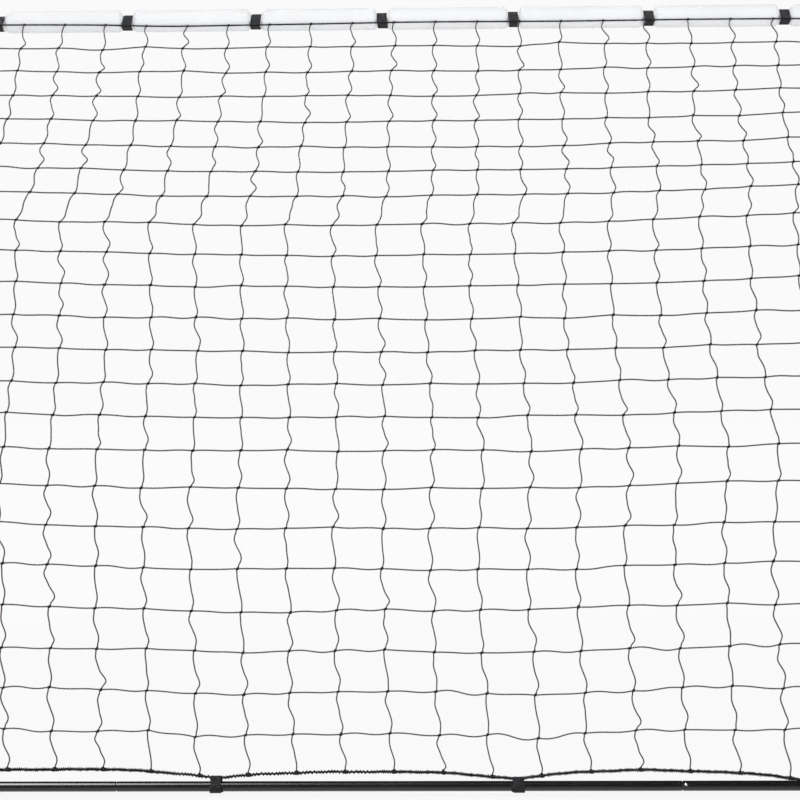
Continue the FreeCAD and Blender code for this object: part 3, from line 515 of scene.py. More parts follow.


# %% [markdown]
# Inside each seam a leaf spring holds the button out, and it is squeezed as the button goes in. A
# copy of each spring's mesh stands for it, fixed to the body that the button's joint hangs from, and
# the frame's own spring is hidden.

# %% Leaf springs
def make_leaf_spring(joint):
    node = joint["deforming_nodes"][0]["node"]
    spring = bpy.data.objects.new(node.replace("button_", "leaf_"), frame["nodes"][node].data.copy())
    bpy.context.scene.collection.objects.link(spring)
    way = np.array(joint["axis"], float)
    along_way = points_of(node) @ way
    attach(spring, joint["parent"])
    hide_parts(node)
    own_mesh(spring)


for button_joint in frame["joints"]:
    make_leaf_spring(button_joint)


# %% [markdown]
# All the soft goods are built as meshes from arrays: thousands of short lengths of twine would be
# slow as curves. One helper turns vertices and quads into an object that stands for a node of the
# frame, with its faces turned outward. Its UV map is measured in metres, so a weave or a lay has its
# true scale whatever the piece's shape. Tubes and grids of rings are the two shapes that it needs.

# %% Mesh helpers
def facing_out(points, quads, run):
    """The quads and their run, turned round if the shape's volume comes out negative."""
    corners = np.asarray(points, float)[quads]
    corners = corners - corners.mean((0, 1))
    across, beside = corners[:, 2] - corners[:, 0], corners[:, 3] - corners[:, 1]
    volume = (corners.mean(1) * np.cross(across, beside)).sum() / 6
    return (quads, run) if volume > 0 else (quads[:, ::-1], run[:, ::-1])


def make_piece(name, shape, finish, node, second=None):
    """A smooth object that stands for a node of the frame. shape is (points, quads, run).

    run holds one (across, along) pair in metres for each corner of each quad. second is a pair,
    a first quad and a finish, where the quads from that one on differ.
    """
    points, quads, run = shape
    quads, run = facing_out(points, np.asarray(quads, np.int32), np.asarray(run, np.float32))
    mesh = bpy.data.meshes.new(name)
    mesh.vertices.add(len(points))
    mesh.vertices.foreach_set("co", np.asarray(points, np.float32).ravel())
    mesh.loops.add(quads.size)
    mesh.loops.foreach_set("vertex_index", np.ascontiguousarray(quads).ravel())
    mesh.polygons.add(len(quads))
    mesh.polygons.foreach_set("loop_start", np.arange(len(quads), dtype=np.int32) * 4)
    mesh.polygons.foreach_set("use_smooth", np.ones(len(quads), bool))
    layer = mesh.uv_layers.new(name="run")
    layer.data.foreach_set("uv", np.ascontiguousarray(run).ravel())
    mesh.materials.append(finish)
    if second:
        mesh.materials.append(second[1])
        mesh.polygons.foreach_set("material_index", (np.arange(len(quads)) >= second[0]).astype(np.int32))
    mesh.update(calc_edges=True)
    mesh.validate()
    piece = bpy.data.objects.new(name, mesh)
    bpy.context.scene.collection.objects.link(piece)
    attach(piece, "frame")
    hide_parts(node)
    print(f"{name}: {len(points)} vertices, {len(quads)} faces")
    return piece


def unit(vectors):
    return vectors / np.maximum(np.linalg.norm(vectors, axis=-1, keepdims=True), 1e-12)


def as_run(corners):
    """The run of every quad, from the (across, along) arrays of its four corners."""
    return np.stack([np.stack(corner, -1) for corner in corners], -2).reshape(-1, 4, 2)


def round_tubes(paths, radius, sides, up):
    """Round tubes along many paths of equally many points: (points, quads, run), with closed ends."""
    paths = np.asarray(paths, float)
    count, steps, _ = paths.shape
    ways = unit(np.gradient(paths, axis=1))
    up = np.broadcast_to(np.asarray(up, float), paths.shape)
    first = unit(up - (up * ways).sum(-1, keepdims=True) * ways)
    second = np.cross(ways, first)
    turns = np.arange(sides) * 2 * math.pi / sides
    radius = np.broadcast_to(np.asarray(radius, float), (count, steps))[..., None, None]
    ring = first[:, :, None] * np.cos(turns)[:, None] + second[:, :, None] * np.sin(turns)[:, None]
    points = paths[:, :, None] + ring * radius

    lengths = np.linalg.norm(np.diff(paths, axis=1), axis=-1)
    along = np.concatenate([np.zeros((count, 1)), np.cumsum(lengths, axis=1)], axis=1)
    number = np.arange(count * steps * sides).reshape(count, steps, sides)
    here, there = number[:, :-1], number[:, 1:]
    quads = np.stack([here, np.roll(here, -1, 2), np.roll(there, -1, 2), there], -1)
    girth = np.broadcast_to(2 * math.pi * radius[:, :-1, 0, 0, None] / sides, quads.shape[:3])
    start = np.arange(sides) * girth
    low = np.broadcast_to(along[:, :-1, None], quads.shape[:3])
    high = np.broadcast_to(along[:, 1:, None], quads.shape[:3])
    run = as_run([(start, low), (start + girth, low), (start + girth, high), (start, high)])
    return close_ends(points.reshape(-1, 3), quads.reshape(-1, 4), run, number)


def close_ends(points, quads, run, number):
    """Closes each tube's two ends with quads across them, which needs an even number of sides."""
    sides = number.shape[2]
    caps = []
    for ring, flip in ((number[:, 0], True), (number[:, -1], False)):
        for step in range(sides // 2 - 1):
            near = [ring[:, step], ring[:, step + 1]]
            far = [ring[:, sides - 2 - step], ring[:, sides - 1 - step]]
            cap = near + far
            caps.append(np.stack(cap[::-1] if flip else cap, -1))
    caps = np.concatenate(caps)
    return points, np.concatenate([quads, caps]), np.concatenate([run, np.zeros((len(caps), 4, 2))])


def grid_quads(number):
    """Quads between the rows of a grid of vertex numbers, where each row closes on itself."""
    here, there = number[:-1], number[1:]
    return np.stack([here, there, np.roll(there, -1, 1), np.roll(here, -1, 1)], -1).reshape(-1, 4)


def grid_run(here, there, along):
    """The run of grid_quads, from the two sides of each column and the place of each row."""
    size = (len(along) - 1, len(here))
    here, there = np.broadcast_to(here, size), np.broadcast_to(there, size)
    low, high = np.broadcast_to(along[:-1, None], size), np.broadcast_to(along[1:, None], size)
    return as_run([(here, low), (here, high), (there, high), (there, low)])


def join(parts):
    """Several (points, quads, run) sets as one."""
    points, quads, run, offset = [], [], [], 0
    for part in parts:
        points.append(part[0])
        quads.append(part[1] + offset)
        run.append(part[2])
        offset += len(part[0])
    return np.concatenate(points), np.concatenate(quads), np.concatenate(run)


# %% [markdown]
# The net's places come next. A knot is named by its row and column, and its place by two lengths: how
# far up the hung net it is, and how far along the rail. The side view turns the first into a height
# and a depth. The corners of that view are rounded, because twine can't turn sharply over nothing,
# and between the stays the leaning stretches sag a little behind the straight line.

# %% The surface that the net hangs in
VIEW_STEPS = np.linalg.norm(np.diff(SIDE_VIEW, axis=0), axis=1)
VIEW_MARKS = np.concatenate([[0.0], np.cumsum(VIEW_STEPS)])
NET_HEIGHT = VIEW_MARKS[-1]
CORNER_REACH = 30 * MM
BACK_SAG = 4 * MM


def on_side_view(height):
    """(y, z) at a height measured up the net, with the two bends rounded."""
    places = []
    for shift in (-CORNER_REACH, 0.0, CORNER_REACH):
        marks = np.clip(height + shift, 0, NET_HEIGHT)
        places.append(np.stack([np.interp(marks, VIEW_MARKS, SIDE_VIEW[:, axis]) for axis in (0, 1)], -1))
    ends = np.minimum(height, NET_HEIGHT - height)[..., None] / CORNER_REACH
    share = np.clip(ends, 0, 1)
    rounded = places[0] * 0.25 + places[1] * 0.5 + places[2] * 0.25
    return places[1] * (1 - share) + rounded * share


def on_net(height, across):
    """The point in space for a height up the net and a place along the rail."""
    height, across = np.broadcast_arrays(np.asarray(height, float), np.asarray(across, float))
    y_z = on_side_view(height)
    above = on_side_view(np.clip(height + 1 * MM, 0, NET_HEIGHT))
    below = on_side_view(np.clip(height - 1 * MM, 0, NET_HEIGHT))
    lean = unit(above - below)
    hang = np.clip((height - VIEW_MARKS[1]) / (NET_HEIGHT - VIEW_MARKS[1]), 0, 1)
    sag = BACK_SAG * np.sin(math.pi * hang) * (1 - (across / HALF_NET) ** 2)
    y = y_z[..., 0] + sag * lean[..., 1]
    z = y_z[..., 1] - sag * lean[..., 0]
    return np.stack([across, y, z], -1)


print("net is", round(NET_HEIGHT, 3), "m high along its surface")


# %% [markdown]
# The meshes are squares of 105 mm twine, but the rows hang only some 85 mm apart, so the upright
# twines have slack and wander in an S between knots while the level twines are nearly straight. The
# rows sag towards the middle, and the whole net has drifted a little to one side where it was hooked
# up. All of that is written as a few smooth formulas with a small random shift for each knot.

# %% Where the knots are
ROWS = 22
COLUMNS = 34
VIEW_EDGE = 0.9
# Height up the net of a few rows, in mm. Rows hang closer together where the net leans back.
ROW_MARKS = ((1, 1863), (5, 1513), (7, 1352), (8, 1262), (12, 931), (16, 606), (18, 433), (22, 77))
# Drift along the rail and mesh width in the middle of the net, both in mm, at a few rows.
DRIFT_ROWS = ((0, -17), (7, -28), (8, -49), (15, -25), (17.5, -35), (22, -17), (23, -11))
MESH_ROWS = ((0, 104.0), (4, 102.8), (7.5, 104.8), (12, 102.6), (15.5, 104.9), (18, 103.9), (23, 105.5))
CREEP = 0.1 * MM
LEVEL_REACH = 0.35
STRAP_PULL = 9 * MM
PULL_REACH = 0.11
PULL_ROWS = 3.5
NET_SEED = 1930
rng = np.random.default_rng(NET_SEED)

row_numbers = np.arange(1, ROWS + 1)
row_heights = np.interp(row_numbers, *zip(*ROW_MARKS)) * MM


def row_sag(row, across):
    """How far a row lies above its middle, away from it. It levels off towards the net's ends."""
    # In mm at 1 m from the middle: more with each row near the top, and most at the upper bend.
    depth = 20 * (1 - np.exp(-row / 2.2)) + 10 * np.exp(-(((row - 7.3) / 3.4) ** 2))
    past = np.maximum(np.abs(across) - VIEW_EDGE, 0)
    reach = np.minimum(np.abs(across), VIEW_EDGE) + LEVEL_REACH * np.tanh(past / LEVEL_REACH)
    return depth * MM * reach**2


def knot_across(row, column):
    """A knot's place along the rail. The column counts from the middle."""
    share = column / (COLUMNS / 2)
    drift = np.interp(row, *zip(*DRIFT_ROWS)) * MM
    mesh = np.interp(row, *zip(*MESH_ROWS)) * MM
    even = HALF_NET * share
    narrow = (mesh - HALF_NET / (COLUMNS / 2)) * column
    shift = drift + narrow + CREEP * column**2
    return even + shift * (1 - share**4)


columns = np.arange(-COLUMNS // 2, COLUMNS // 2 + 1)
rows, cols = np.meshgrid(row_numbers, columns, indexing="ij")
across = knot_across(rows, cols)
# How unevenly the knots lie, in mm: more so near the head rope and the foot rope.
uneven = 1.6 + 1.6 * np.exp(-(rows - 1) / 3.0) + 1.2 * np.exp(-(ROWS - rows) / 3.0)
inner = np.abs(cols) < COLUMNS // 2
across = across + rng.normal(0, 1, across.shape) * uneven * MM * inner
heights = row_heights[:, None] + row_sag(rows, across)
for strap_x in GROUND_STRAPS:
    pull = np.exp(-(((across - strap_x) / PULL_REACH) ** 2)) * np.exp(-(ROWS - rows) / PULL_ROWS)
    heights = heights - STRAP_PULL * pull
heights = heights + rng.normal(0, 1, heights.shape) * uneven * MM * inner
print("rows from", row_heights[-1].round(3), "to", row_heights[0].round(3), "m up the net")


# %% [markdown]
# The ropes that edge the net have their own lines. The head rope lies in front of the padding, at the
# height where each strap caught it. The foot rope is pulled down to the tube at each strap and
# springs back up beside it, more in one span than in the next. The side ropes bow in between their
# straps. Each is a function, because the rope and the knots on it both need it.

# %% Lines of the four ropes
# Height of the head rope over its even level, and lift of the foot rope between its straps, both as
# (place along the rail in metres, mm).
HEAD_LEVELS = ((-1.785, -3), (-0.95, -1.5), (-0.73, -5), (-0.6, -10), (-0.33, -6.5), (0, -4.8), (0.9, -4.2))
FOOT_LIFTS = (
    (-1.2, 0), (-0.72, 2), (-0.58, 2), (-0.45, -4), (-0.36, -6), (-0.11, -4), (0.08, -5), (0.17, -9),
    (0.3, -6), (0.45, -3), (0.53, 0), (0.6, -4), (0.74, -5), (0.84, -15), (1.2, -6), (1.5, 0),
)
HEAD_GAP = 0.4 * MM
FOOT_PULL = 13 * MM
FOOT_SPRING = 75 * MM
STRAP_HALF_WIDTH = 12.5 * MM
SIDE_BOW = 5 * MM
SEARCH_POINTS = 4000


def soft_levels(x, levels, reach):
    """A level read from a few (place, mm) stops, with the corners between them rounded."""
    places, values = np.array(levels).T
    shifts = np.linspace(-reach, reach, 9)
    return np.mean([np.interp(x + shift, places, values) for shift in shifts], axis=0) * MM


def head_rope_at(x):
    x = np.asarray(x, float)
    z = HEAD_ROPE.z + soft_levels(x, HEAD_LEVELS, 0.07) + 0.6 * MM * np.sin(x * 9.0 + 1.0)
    drop = RAIL.z - z
    lie = SLEEVE_RADIUS + HEAD_ROPE_RADIUS + HEAD_GAP
    y = RAIL.y - np.sqrt(lie**2 - drop**2)
    return np.stack([x, y, z], -1)


def foot_rope_at(x):
    x = np.asarray(x, float)
    z = FOOT_LEVEL + soft_levels(x, FOOT_LIFTS, 0.06)
    for strap_x in GROUND_STRAPS:
        away = np.sqrt((x - strap_x) ** 2 + STRAP_HALF_WIDTH**2) - STRAP_HALF_WIDTH
        z = z - FOOT_PULL * np.exp(-away / FOOT_SPRING)
    waves = 0.9 * MM * np.sin(x * 21.0) * np.sin(x * 5.3 + 0.7)
    ripples = 0.7 * MM * np.sin(x * 83.0 + 1) * np.sin(x * 37.0)
    return np.stack([x, np.full(x.shape, GROUND.y), z + waves + ripples], -1)


def height_up_net(point):
    """The mark along the side view that lies nearest to a point."""
    marks = np.linspace(0, NET_HEIGHT, SEARCH_POINTS)
    line = on_side_view(marks)
    return float(marks[np.argmin(((line - np.asarray(point)[1:]) ** 2).sum(1))])


SIDE_STRAP_MARKS = sorted(height_up_net(middle) for middle in SIDE_STRAPS)


def side_rope_across(mark):
    """The right side rope's place along the rail at a height up the net."""
    stops = np.array([0.0, *SIDE_STRAP_MARKS, NET_HEIGHT])
    index = np.clip(np.searchsorted(stops, mark, side="right") - 1, 0, len(stops) - 2)
    share = (mark - stops[index]) / (stops[index + 1] - stops[index])
    return HALF_NET - SIDE_BOW * np.sin(math.pi * np.clip(share, 0, 1)) ** 2


# The outer knots lie on the side ropes.
for side, column in ((-1, 0), (1, -1)):
    across[:, column] = side * side_rope_across(heights[:, column])
knots = on_net(heights, across)
print("side straps at", np.round(SIDE_STRAP_MARKS, 3), "m up the net")


# %% [markdown]
# Net twine is laid nylon a little over 3 mm thick. Its lay is drawn in the finish as a fine slanting
# rib, with painted shade in its grooves, since a strand half a millimetre high is texture and not
# shape. Rope strands are thick enough to be shape, so the ropes below get real twisted strands, and
# share this finish for fibre.

# %% Twine and rope finish
def laid_fibre(name, colour, girth, lay, roughness):
    """Twisted fibre. girth is the distance round and lay the length of one turn, both in metres."""
    material, tree, shader = start_material(name)
    across_fibre, along = measured_run(tree)
    turn = maths(tree, "MULTIPLY", across_fibre, 2 * math.pi * 3 / girth)
    slant = maths(tree, "MULTIPLY_ADD", along, 2 * math.pi * 3 / lay, turn)
    rib = maths(tree, "MULTIPLY_ADD", maths(tree, "SINE", slant), 0.5, 0.5)
    fuzz = noise(tree, object_place(tree), 900.0, 4.0, 0.7)
    # In the grooves of the lay, where the bump is low, the colour falls to 55%: painted shade.
    dark = tuple(value * 0.55 for value in colour)
    set_inputs(tree, shader, {
        "Base Color": ramp(tree, rib, [(0.05, dark), (0.7, colour)]),
        "Roughness": spread(tree, fuzz, roughness, roughness + 0.2),
        "Specular IOR Level": 0.15,
        "Sheen Weight": 0.06,
        "Sheen Roughness": 0.4,
    })
    bump(tree, shader, maths(tree, "MULTIPLY_ADD", fuzz, 0.6, rib), 0.7, 0.18 * MM)
    return material


TWINE_RADIUS = 1.7 * MM
TWINE_GIRTH = 2 * math.pi * TWINE_RADIUS
# The twine's grey, far lighter than the black rope fibre, is painted sheen.
SHEEN_GREY_TWINE_FINISH = laid_fibre("net_twine", (0.092, 0.092, 0.096), TWINE_GIRTH, 7 * MM, 0.5)
# The knots' near-black is painted shade: the same twine, crowded into a tangle.
KNOT_SHADE_FINISH = laid_fibre("knot_painted_shade", (0.006, 0.006, 0.007), TWINE_GIRTH, 7 * MM, 0.5)
ROPE_FINISH = laid_fibre("rope_fibre", (0.010, 0.010, 0.011), 6 * MM, 9 * MM, 0.6)
print("fibre finishes:", SHEEN_GREY_TWINE_FINISH.name, KNOT_SHADE_FINISH.name, ROPE_FINISH.name)


# %% [markdown]
# A rope is three strands wound round each other. Each strand's middle runs on a helix round the
# rope's line, and a round tube follows it. The foot rope is also whipped with twine, an open spiral
# that ties the net's last row to it and gives it a rough outline.

# %% Rope helpers
ALONG_RAIL = (1, 0, 0)
UPWARD = (0, 0, 1)
TWINE_SIDES = 6
OPENING_LENGTH = 0.03
HITCH_STEPS = 10


def beside(path, up):
    """Two unit vectors square to a path at each of its points."""
    way = unit(np.gradient(path, axis=0))
    first = unit(np.asarray(up, float) - (way @ np.asarray(up, float))[:, None] * way)
    return first, np.cross(way, first)


def resample(path, step):
    """The same line with points an even step apart."""
    lengths = np.concatenate([[0], np.cumsum(np.linalg.norm(np.diff(path, axis=0), axis=1))])
    marks = np.linspace(0, lengths[-1], max(2, int(round(lengths[-1] / step)) + 1))
    return np.stack([np.interp(marks, lengths, path[:, axis]) for axis in range(3)], -1), marks


def wound(path, marks, offset, lay, phase, up=UPWARD):
    """A helix round a line: offset is its radius and lay the length of one turn."""
    first, second = beside(path, up)
    turn = (2 * math.pi * marks / lay + phase)[:, None]
    return path + offset * (first * np.cos(turn) + second * np.sin(turn))


def twisted_rope(line, radius, lay, up=UPWARD, step=1.9 * MM, tight=1.04):
    """Three strands that touch each other inside the rope's radius, pressed a little together."""
    strand = radius / (1 + 2 / math.sqrt(3)) * tight
    path, marks = resample(line, step)
    strands = [wound(path, marks, radius - strand, lay, phase * 2 * math.pi / 3, up) for phase in range(3)]
    uneven = 1 + 0.1 * np.sin(marks * 173.0) * np.sin(marks * 61.0 + 2)
    return round_tubes(strands, strand * uneven, TWINE_SIDES, up)


def whipping(line, rope_radius, twine_radius, pitch, open_stretch, step=0.4 * MM):
    """Twine wound round a rope. Over one stretch of the rope the turns lie twice as far apart."""
    path, marks = resample(line, step)
    low, high = open_stretch
    opened = np.clip((path[:, 0] - low) / OPENING_LENGTH, 0, 1)
    opened = opened * np.clip((high - path[:, 0]) / OPENING_LENGTH, 0, 1)
    turns = np.concatenate([[0], np.cumsum(np.diff(marks) * (1 - 0.5 * opened[1:]))])
    uneven_turns = turns + 0.9 * MM * np.sin(marks * 61.0) + 0.5 * MM * np.sin(marks * 217.0)
    lumps = np.sin(marks * 430.0) * np.sin(marks * 97.0 + 1)
    loose = rope_radius + twine_radius * (0.85 + 0.75 * lumps * (1 - 0.5 * opened))
    coil = wound(path, uneven_turns, loose[:, None], pitch, 0.4)
    return round_tubes([coil], twine_radius, 4, UPWARD)


def hitch(centre, way, up, rope_radius, twine_radius, turns=2.5, pitch=2.0 * MM):
    """A few close turns of twine round a rope, where a mesh is tied to it."""
    steps = int(turns * HITCH_STEPS) + 1
    marks = np.linspace(-0.5, 0.5, steps) * turns * pitch
    way, up = unit(np.asarray(way, float)), np.asarray(up, float)
    first = unit(up - (up @ way) * way)
    second = np.cross(way, first)
    angle = (2 * math.pi * marks / pitch)[:, None]
    ring = first * np.cos(angle) + second * np.sin(angle)
    return centre + way * marks[:, None] + ring * (rope_radius + twine_radius * 0.7)


# %% [markdown]
# The four ropes come next, with their hitches. Each hitch sits where a twine of the net meets the
# rope, so the hitches take their places from the same functions as the knots.

# %% Make the ropes
HITCH_RADIUS = 0.85 * MM
FOOT_HITCH_RADIUS = 1.15 * MM
FOOT_HITCH_SEAT = np.array([3 * MM, 0, 0])
HITCH_UP = (1, 0.2, 0)
HEAD_POINTS, FOOT_POINTS, SIDE_POINTS = 1200, 1800, 900
HEAD_LAY, FOOT_LAY, SIDE_LAY = 15 * MM, 18 * MM, 15 * MM
WHIP_RADIUS = 1.1 * MM
WHIP_PITCH = 3.8 * MM
OPEN_WHIPPING = (-0.5, -0.02)


def knots_on_rope(rope_at, row):
    """Where the net's columns meet the rope that is its first or last row."""
    places = knot_across(row, columns.astype(float))
    places[[0, -1]] = -HALF_NET, HALF_NET
    return rope_at(places)


head_knots = knots_on_rope(head_rope_at, 0.0)
foot_knots = knots_on_rope(foot_rope_at, ROWS + 1.0)


def make_head_rope():
    line = head_rope_at(np.linspace(-HALF_NET, HALF_NET, HEAD_POINTS))
    parts = [twisted_rope(line, HEAD_ROPE_RADIUS, HEAD_LAY, tight=0.9)]
    ties = [hitch(knot, ALONG_RAIL, UPWARD, HEAD_ROPE_RADIUS, HITCH_RADIUS) for knot in head_knots[1:-1]]
    parts.append(round_tubes(ties, HITCH_RADIUS, TWINE_SIDES, HITCH_UP))
    make_piece("head_rope_strands", join(parts), ROPE_FINISH, "head_rope")


def make_foot_rope():
    line = foot_rope_at(np.linspace(-HALF_NET, HALF_NET, FOOT_POINTS))
    parts = [twisted_rope(line, FOOT_ROPE_RADIUS, FOOT_LAY, step=2.1 * MM)]
    parts.append(whipping(line, FOOT_ROPE_RADIUS, WHIP_RADIUS, WHIP_PITCH, OPEN_WHIPPING))
    ties = [
        hitch(knot, ALONG_RAIL, UPWARD, FOOT_ROPE_RADIUS, FOOT_HITCH_RADIUS, 4.5, 2.4 * MM)
        for knot in foot_knots[1:-1] + FOOT_HITCH_SEAT
    ]
    parts.append(round_tubes(ties, FOOT_HITCH_RADIUS, TWINE_SIDES, HITCH_UP))
    make_piece("foot_rope_strands", join(parts), ROPE_FINISH, "foot_rope")


def make_side_rope(side, name):
    marks = np.linspace(0, NET_HEIGHT, SIDE_POINTS)
    line = on_net(marks, side * side_rope_across(marks))
    end = 0 if side < 0 else -1
    line[0] = foot_knots[end] + np.array([0, 0, FOOT_ROPE_RADIUS + SIDE_ROPE_RADIUS])
    line[-1] = head_knots[end] - np.array([0, 0, HEAD_ROPE_RADIUS + SIDE_ROPE_RADIUS])
    parts = [twisted_rope(line, SIDE_ROPE_RADIUS, SIDE_LAY, ALONG_RAIL)]
    ties = []
    for knot, height in zip(knots[:, end], heights[:, end]):
        ahead, behind = on_net(height + 5 * MM, knot[0]), on_net(height - 5 * MM, knot[0])
        ties.append(hitch(knot, ahead - behind, ALONG_RAIL, SIDE_ROPE_RADIUS, TWINE_RADIUS))
    parts.append(round_tubes(ties, TWINE_RADIUS, TWINE_SIDES, (0.1, 0.7, 0.7)))
    make_piece(f"side_rope_{name}_strands", join(parts), ROPE_FINISH, f"side_rope_{name}")


make_head_rope()
make_foot_rope()
make_side_rope(-1, "left")
make_side_rope(1, "right")


# %% [markdown]
# Now the twine. The upright between two knots leaves the upper one at its lower left, swings left and
# then right, and enters the next from its upper right: that is how a knotted net twists. The
# formula is a short sum of swings with a random strength, and a swing towards the viewer takes up
# the rest of the slack. Level twines get a much smaller wave, larger near the foot rope.

# %% Upright and level twines
UPRIGHT_STEPS = 25
LEVEL_STEPS = 11
KNOT_REACH = 2.2 * MM


def hump(share, middle, width):
    return np.exp(-(((share - middle[:, None]) / width) ** 2))


def upright_twines(upper, lower, slack):
    """Paths from upper knots to lower knots. slack is one strength for each."""
    share = np.linspace(0, 1, UPRIGHT_STEPS)
    count = len(upper)
    swing_left = rng.uniform(1.5, 6.0, count) * MM * slack
    swing_right = rng.uniform(3.0, 10.5, count) * MM * slack
    left = swing_left[:, None] * hump(share, rng.uniform(0.2, 0.32, count), 0.18)
    right = swing_right[:, None] * hump(share, rng.uniform(0.66, 0.82, count), 0.19)
    small = (rng.normal(0, 0.5, count) * MM)[:, None] * np.sin(4 * math.pi * share)
    near_end = np.clip(np.minimum(share, 1 - share) / 0.2, 0, 1)
    free = near_end * near_end * (3 - 2 * near_end)
    sideways = (right - left + small) * free + KNOT_REACH * (2 * share - 1)
    line = upper[:, None] + (lower - upper)[:, None] * share[:, None]
    line[..., 0] += sideways
    out = rng.uniform(-7.0, 7.0, count) * MM * slack
    wave = out[:, None] * np.sin(2 * math.pi * share) * free
    line[..., 1] += wave * 0.8
    line[..., 2] += wave * 0.3
    return line


def level_twines(left, right, wave, droop):
    """Paths from left knots to right knots, a little lower in the middle."""
    share = np.linspace(0, 1, LEVEL_STEPS)
    count = len(left)
    lift = rng.normal(0.35, 0.6, count) * wave
    line = left[:, None] + (right - left)[:, None] * share[:, None]
    hang = -droop[:, None] * 4 * share * (1 - share)
    line[..., 2] += lift[:, None] * np.sin(2 * math.pi * share) + hang
    line[..., 1] += (rng.normal(0, 0.7, count) * wave)[:, None] * np.sin(2 * math.pi * share)
    return line


# %% [markdown]
# Each knot is a small tight tangle. A trefoil, the simplest closed knot, drawn out along the slant of
# the twines, reads as a real net knot from every side and costs few faces. Knots get a finish of
# their own, far darker than the twine: painted shade for the tangle's crowded folds.

# %% Knots
KNOT_STEPS = 18
KNOT_LONG = 1.1 * MM
KNOT_SHORT = 0.55 * MM
KNOT_DEEP = 1.2 * MM
KNOT_SLANT = math.radians(38)


def net_knots(places):
    turn = np.linspace(0, 2 * math.pi, KNOT_STEPS + 1)
    long_way = (np.sin(turn) + 2 * np.sin(2 * turn)) * KNOT_LONG
    short_way = (np.cos(turn) - 2 * np.cos(2 * turn)) * KNOT_SHORT
    deep_way = -np.sin(3 * turn) * KNOT_DEEP
    slant = KNOT_SLANT + rng.normal(0, 0.3, len(places))[:, None]
    size = rng.uniform(0.8, 1.2, len(places))[:, None]
    x = (long_way * np.cos(slant) - short_way * np.sin(slant)) * size
    z = (long_way * np.sin(slant) + short_way * np.cos(slant)) * size
    y = np.broadcast_to(deep_way, x.shape)
    paths = places[:, None] + np.stack([x, y, z], -1)
    return round_tubes(paths, TWINE_RADIUS * 1.1, 4, (0.3, 1, 0.2))


# %% [markdown]
# The frame holds the net as three flat stretches, so it is dressed as three pieces that meet at rows
# of knots over the stays' bends. From any side it reads as the one net that it is.

# %% Make the net
FIRST_BEND_ROW = 15
SECOND_BEND_ROW = 8
MIDDLE_SLACK = 0.8
TWINE_UP = (0, -1, 0.3)
FOOT_KNOT_SEAT = np.array([1.0, -1.0, 3.4]) * MM


def upright_rows(grid, first_row, last_row):
    parts = []
    for row in range(first_row, last_row):
        even = MIDDLE_SLACK if SECOND_BEND_ROW <= row < FIRST_BEND_ROW else 1.0
        slack = even * rng.uniform(0.35, 1.1, COLUMNS - 1)
        uprights = upright_twines(grid[row][1:-1], grid[row + 1][1:-1], slack)
        parts.append(round_tubes(uprights, TWINE_RADIUS, TWINE_SIDES, TWINE_UP))
    return parts


def make_net_stretch(name, node, first_row, last_row):
    """The net from one row down to another. Row 0 is the head rope and row 23 the foot rope."""
    grid = [head_knots, *knots, foot_knots]
    parts, tangles = upright_rows(grid, first_row, last_row), []
    for row in range(first_row + 1, min(last_row, ROWS) + 1):
        wave = (0.8 + 2.6 * math.exp(-(ROWS - row) / 3.0)) * MM
        droop = rng.uniform(0.2, 1.2, COLUMNS) * MM
        levels = level_twines(grid[row][:-1], grid[row][1:], wave, droop)
        parts.append(round_tubes(levels, TWINE_RADIUS, TWINE_SIDES, TWINE_UP))
        tangles.append(net_knots(grid[row][1:-1]))
    if last_row > ROWS:
        tangles.append(net_knots(foot_knots[1:-1] + FOOT_KNOT_SEAT))
    first_knot = sum(len(part[1]) for part in parts)
    make_piece(name, join(parts + tangles), SHEEN_GREY_TWINE_FINISH, node, (first_knot, KNOT_SHADE_FINISH))


make_net_stretch("knotted_net_upper", "net_upper", 0, SECOND_BEND_ROW)
make_net_stretch("knotted_net_middle", "net_middle", SECOND_BEND_ROW, FIRST_BEND_ROW)
make_net_stretch("knotted_net_lower", "net_lower", FIRST_BEND_ROW, ROWS + 1)


# %% [markdown]
# The rail's padding is a foam tube in a sewn white cover. Each strap draws it down onto the steel
# tube, so the neck is low rather than central, and the cover puckers into small pleats beside it.
# The shape is a tube whose radius depends on the place along it and the angle round it. Rings are
# close together near the straps, where the pleats are, and wider apart between them. A flat-felled
# seam, which closes the cover along its length, stands a little proud at the back and below.

# %% Shape of the padding
NECK_RADIUS = 17.0 * MM
NECK_DROP = 4.5 * MM
NECK_HALF = STRAP_HALF_WIDTH + 0.9 * MM
SHOULDER = 12 * MM
PLEAT_DEPTH = 0.9 * MM
PLEAT_FADE = 20 * MM
PLEAT_SEED = 400
AROUND = 90
EVEN_RINGS = 180
STRAP_RINGS = 33
STRAP_REACH = 40 * MM
END_RINGS = 14
END_REACH = 24 * MM
LEAST_STEP = 0.7 * MM
END_TUCK = 14 * MM
SEAM_ANGLE = math.radians(215)
SEAM_HALF = 3.0 * MM
SEAM_RISE = 0.6 * MM
MOUTH_RADIUS = TUBE_RADIUS + 0.9 * MM


def ring_places():
    """Places along the rail, close together beside the straps and at the two ends."""
    places = [np.linspace(-SLEEVE_END, SLEEVE_END, EVEN_RINGS)]
    for strap_x in RAIL_STRAPS:
        places.append(strap_x + np.linspace(-1, 1, STRAP_RINGS) * STRAP_REACH)
    for end in (-1, 1):
        places.append(end * (SLEEVE_END - np.linspace(0, 1, END_RINGS) ** 1.6 * END_REACH))
    places = np.unique(np.concatenate(places).round(5))
    wide_enough = np.concatenate([[True], np.diff(places) > LEAST_STEP])
    return places[wide_enough]


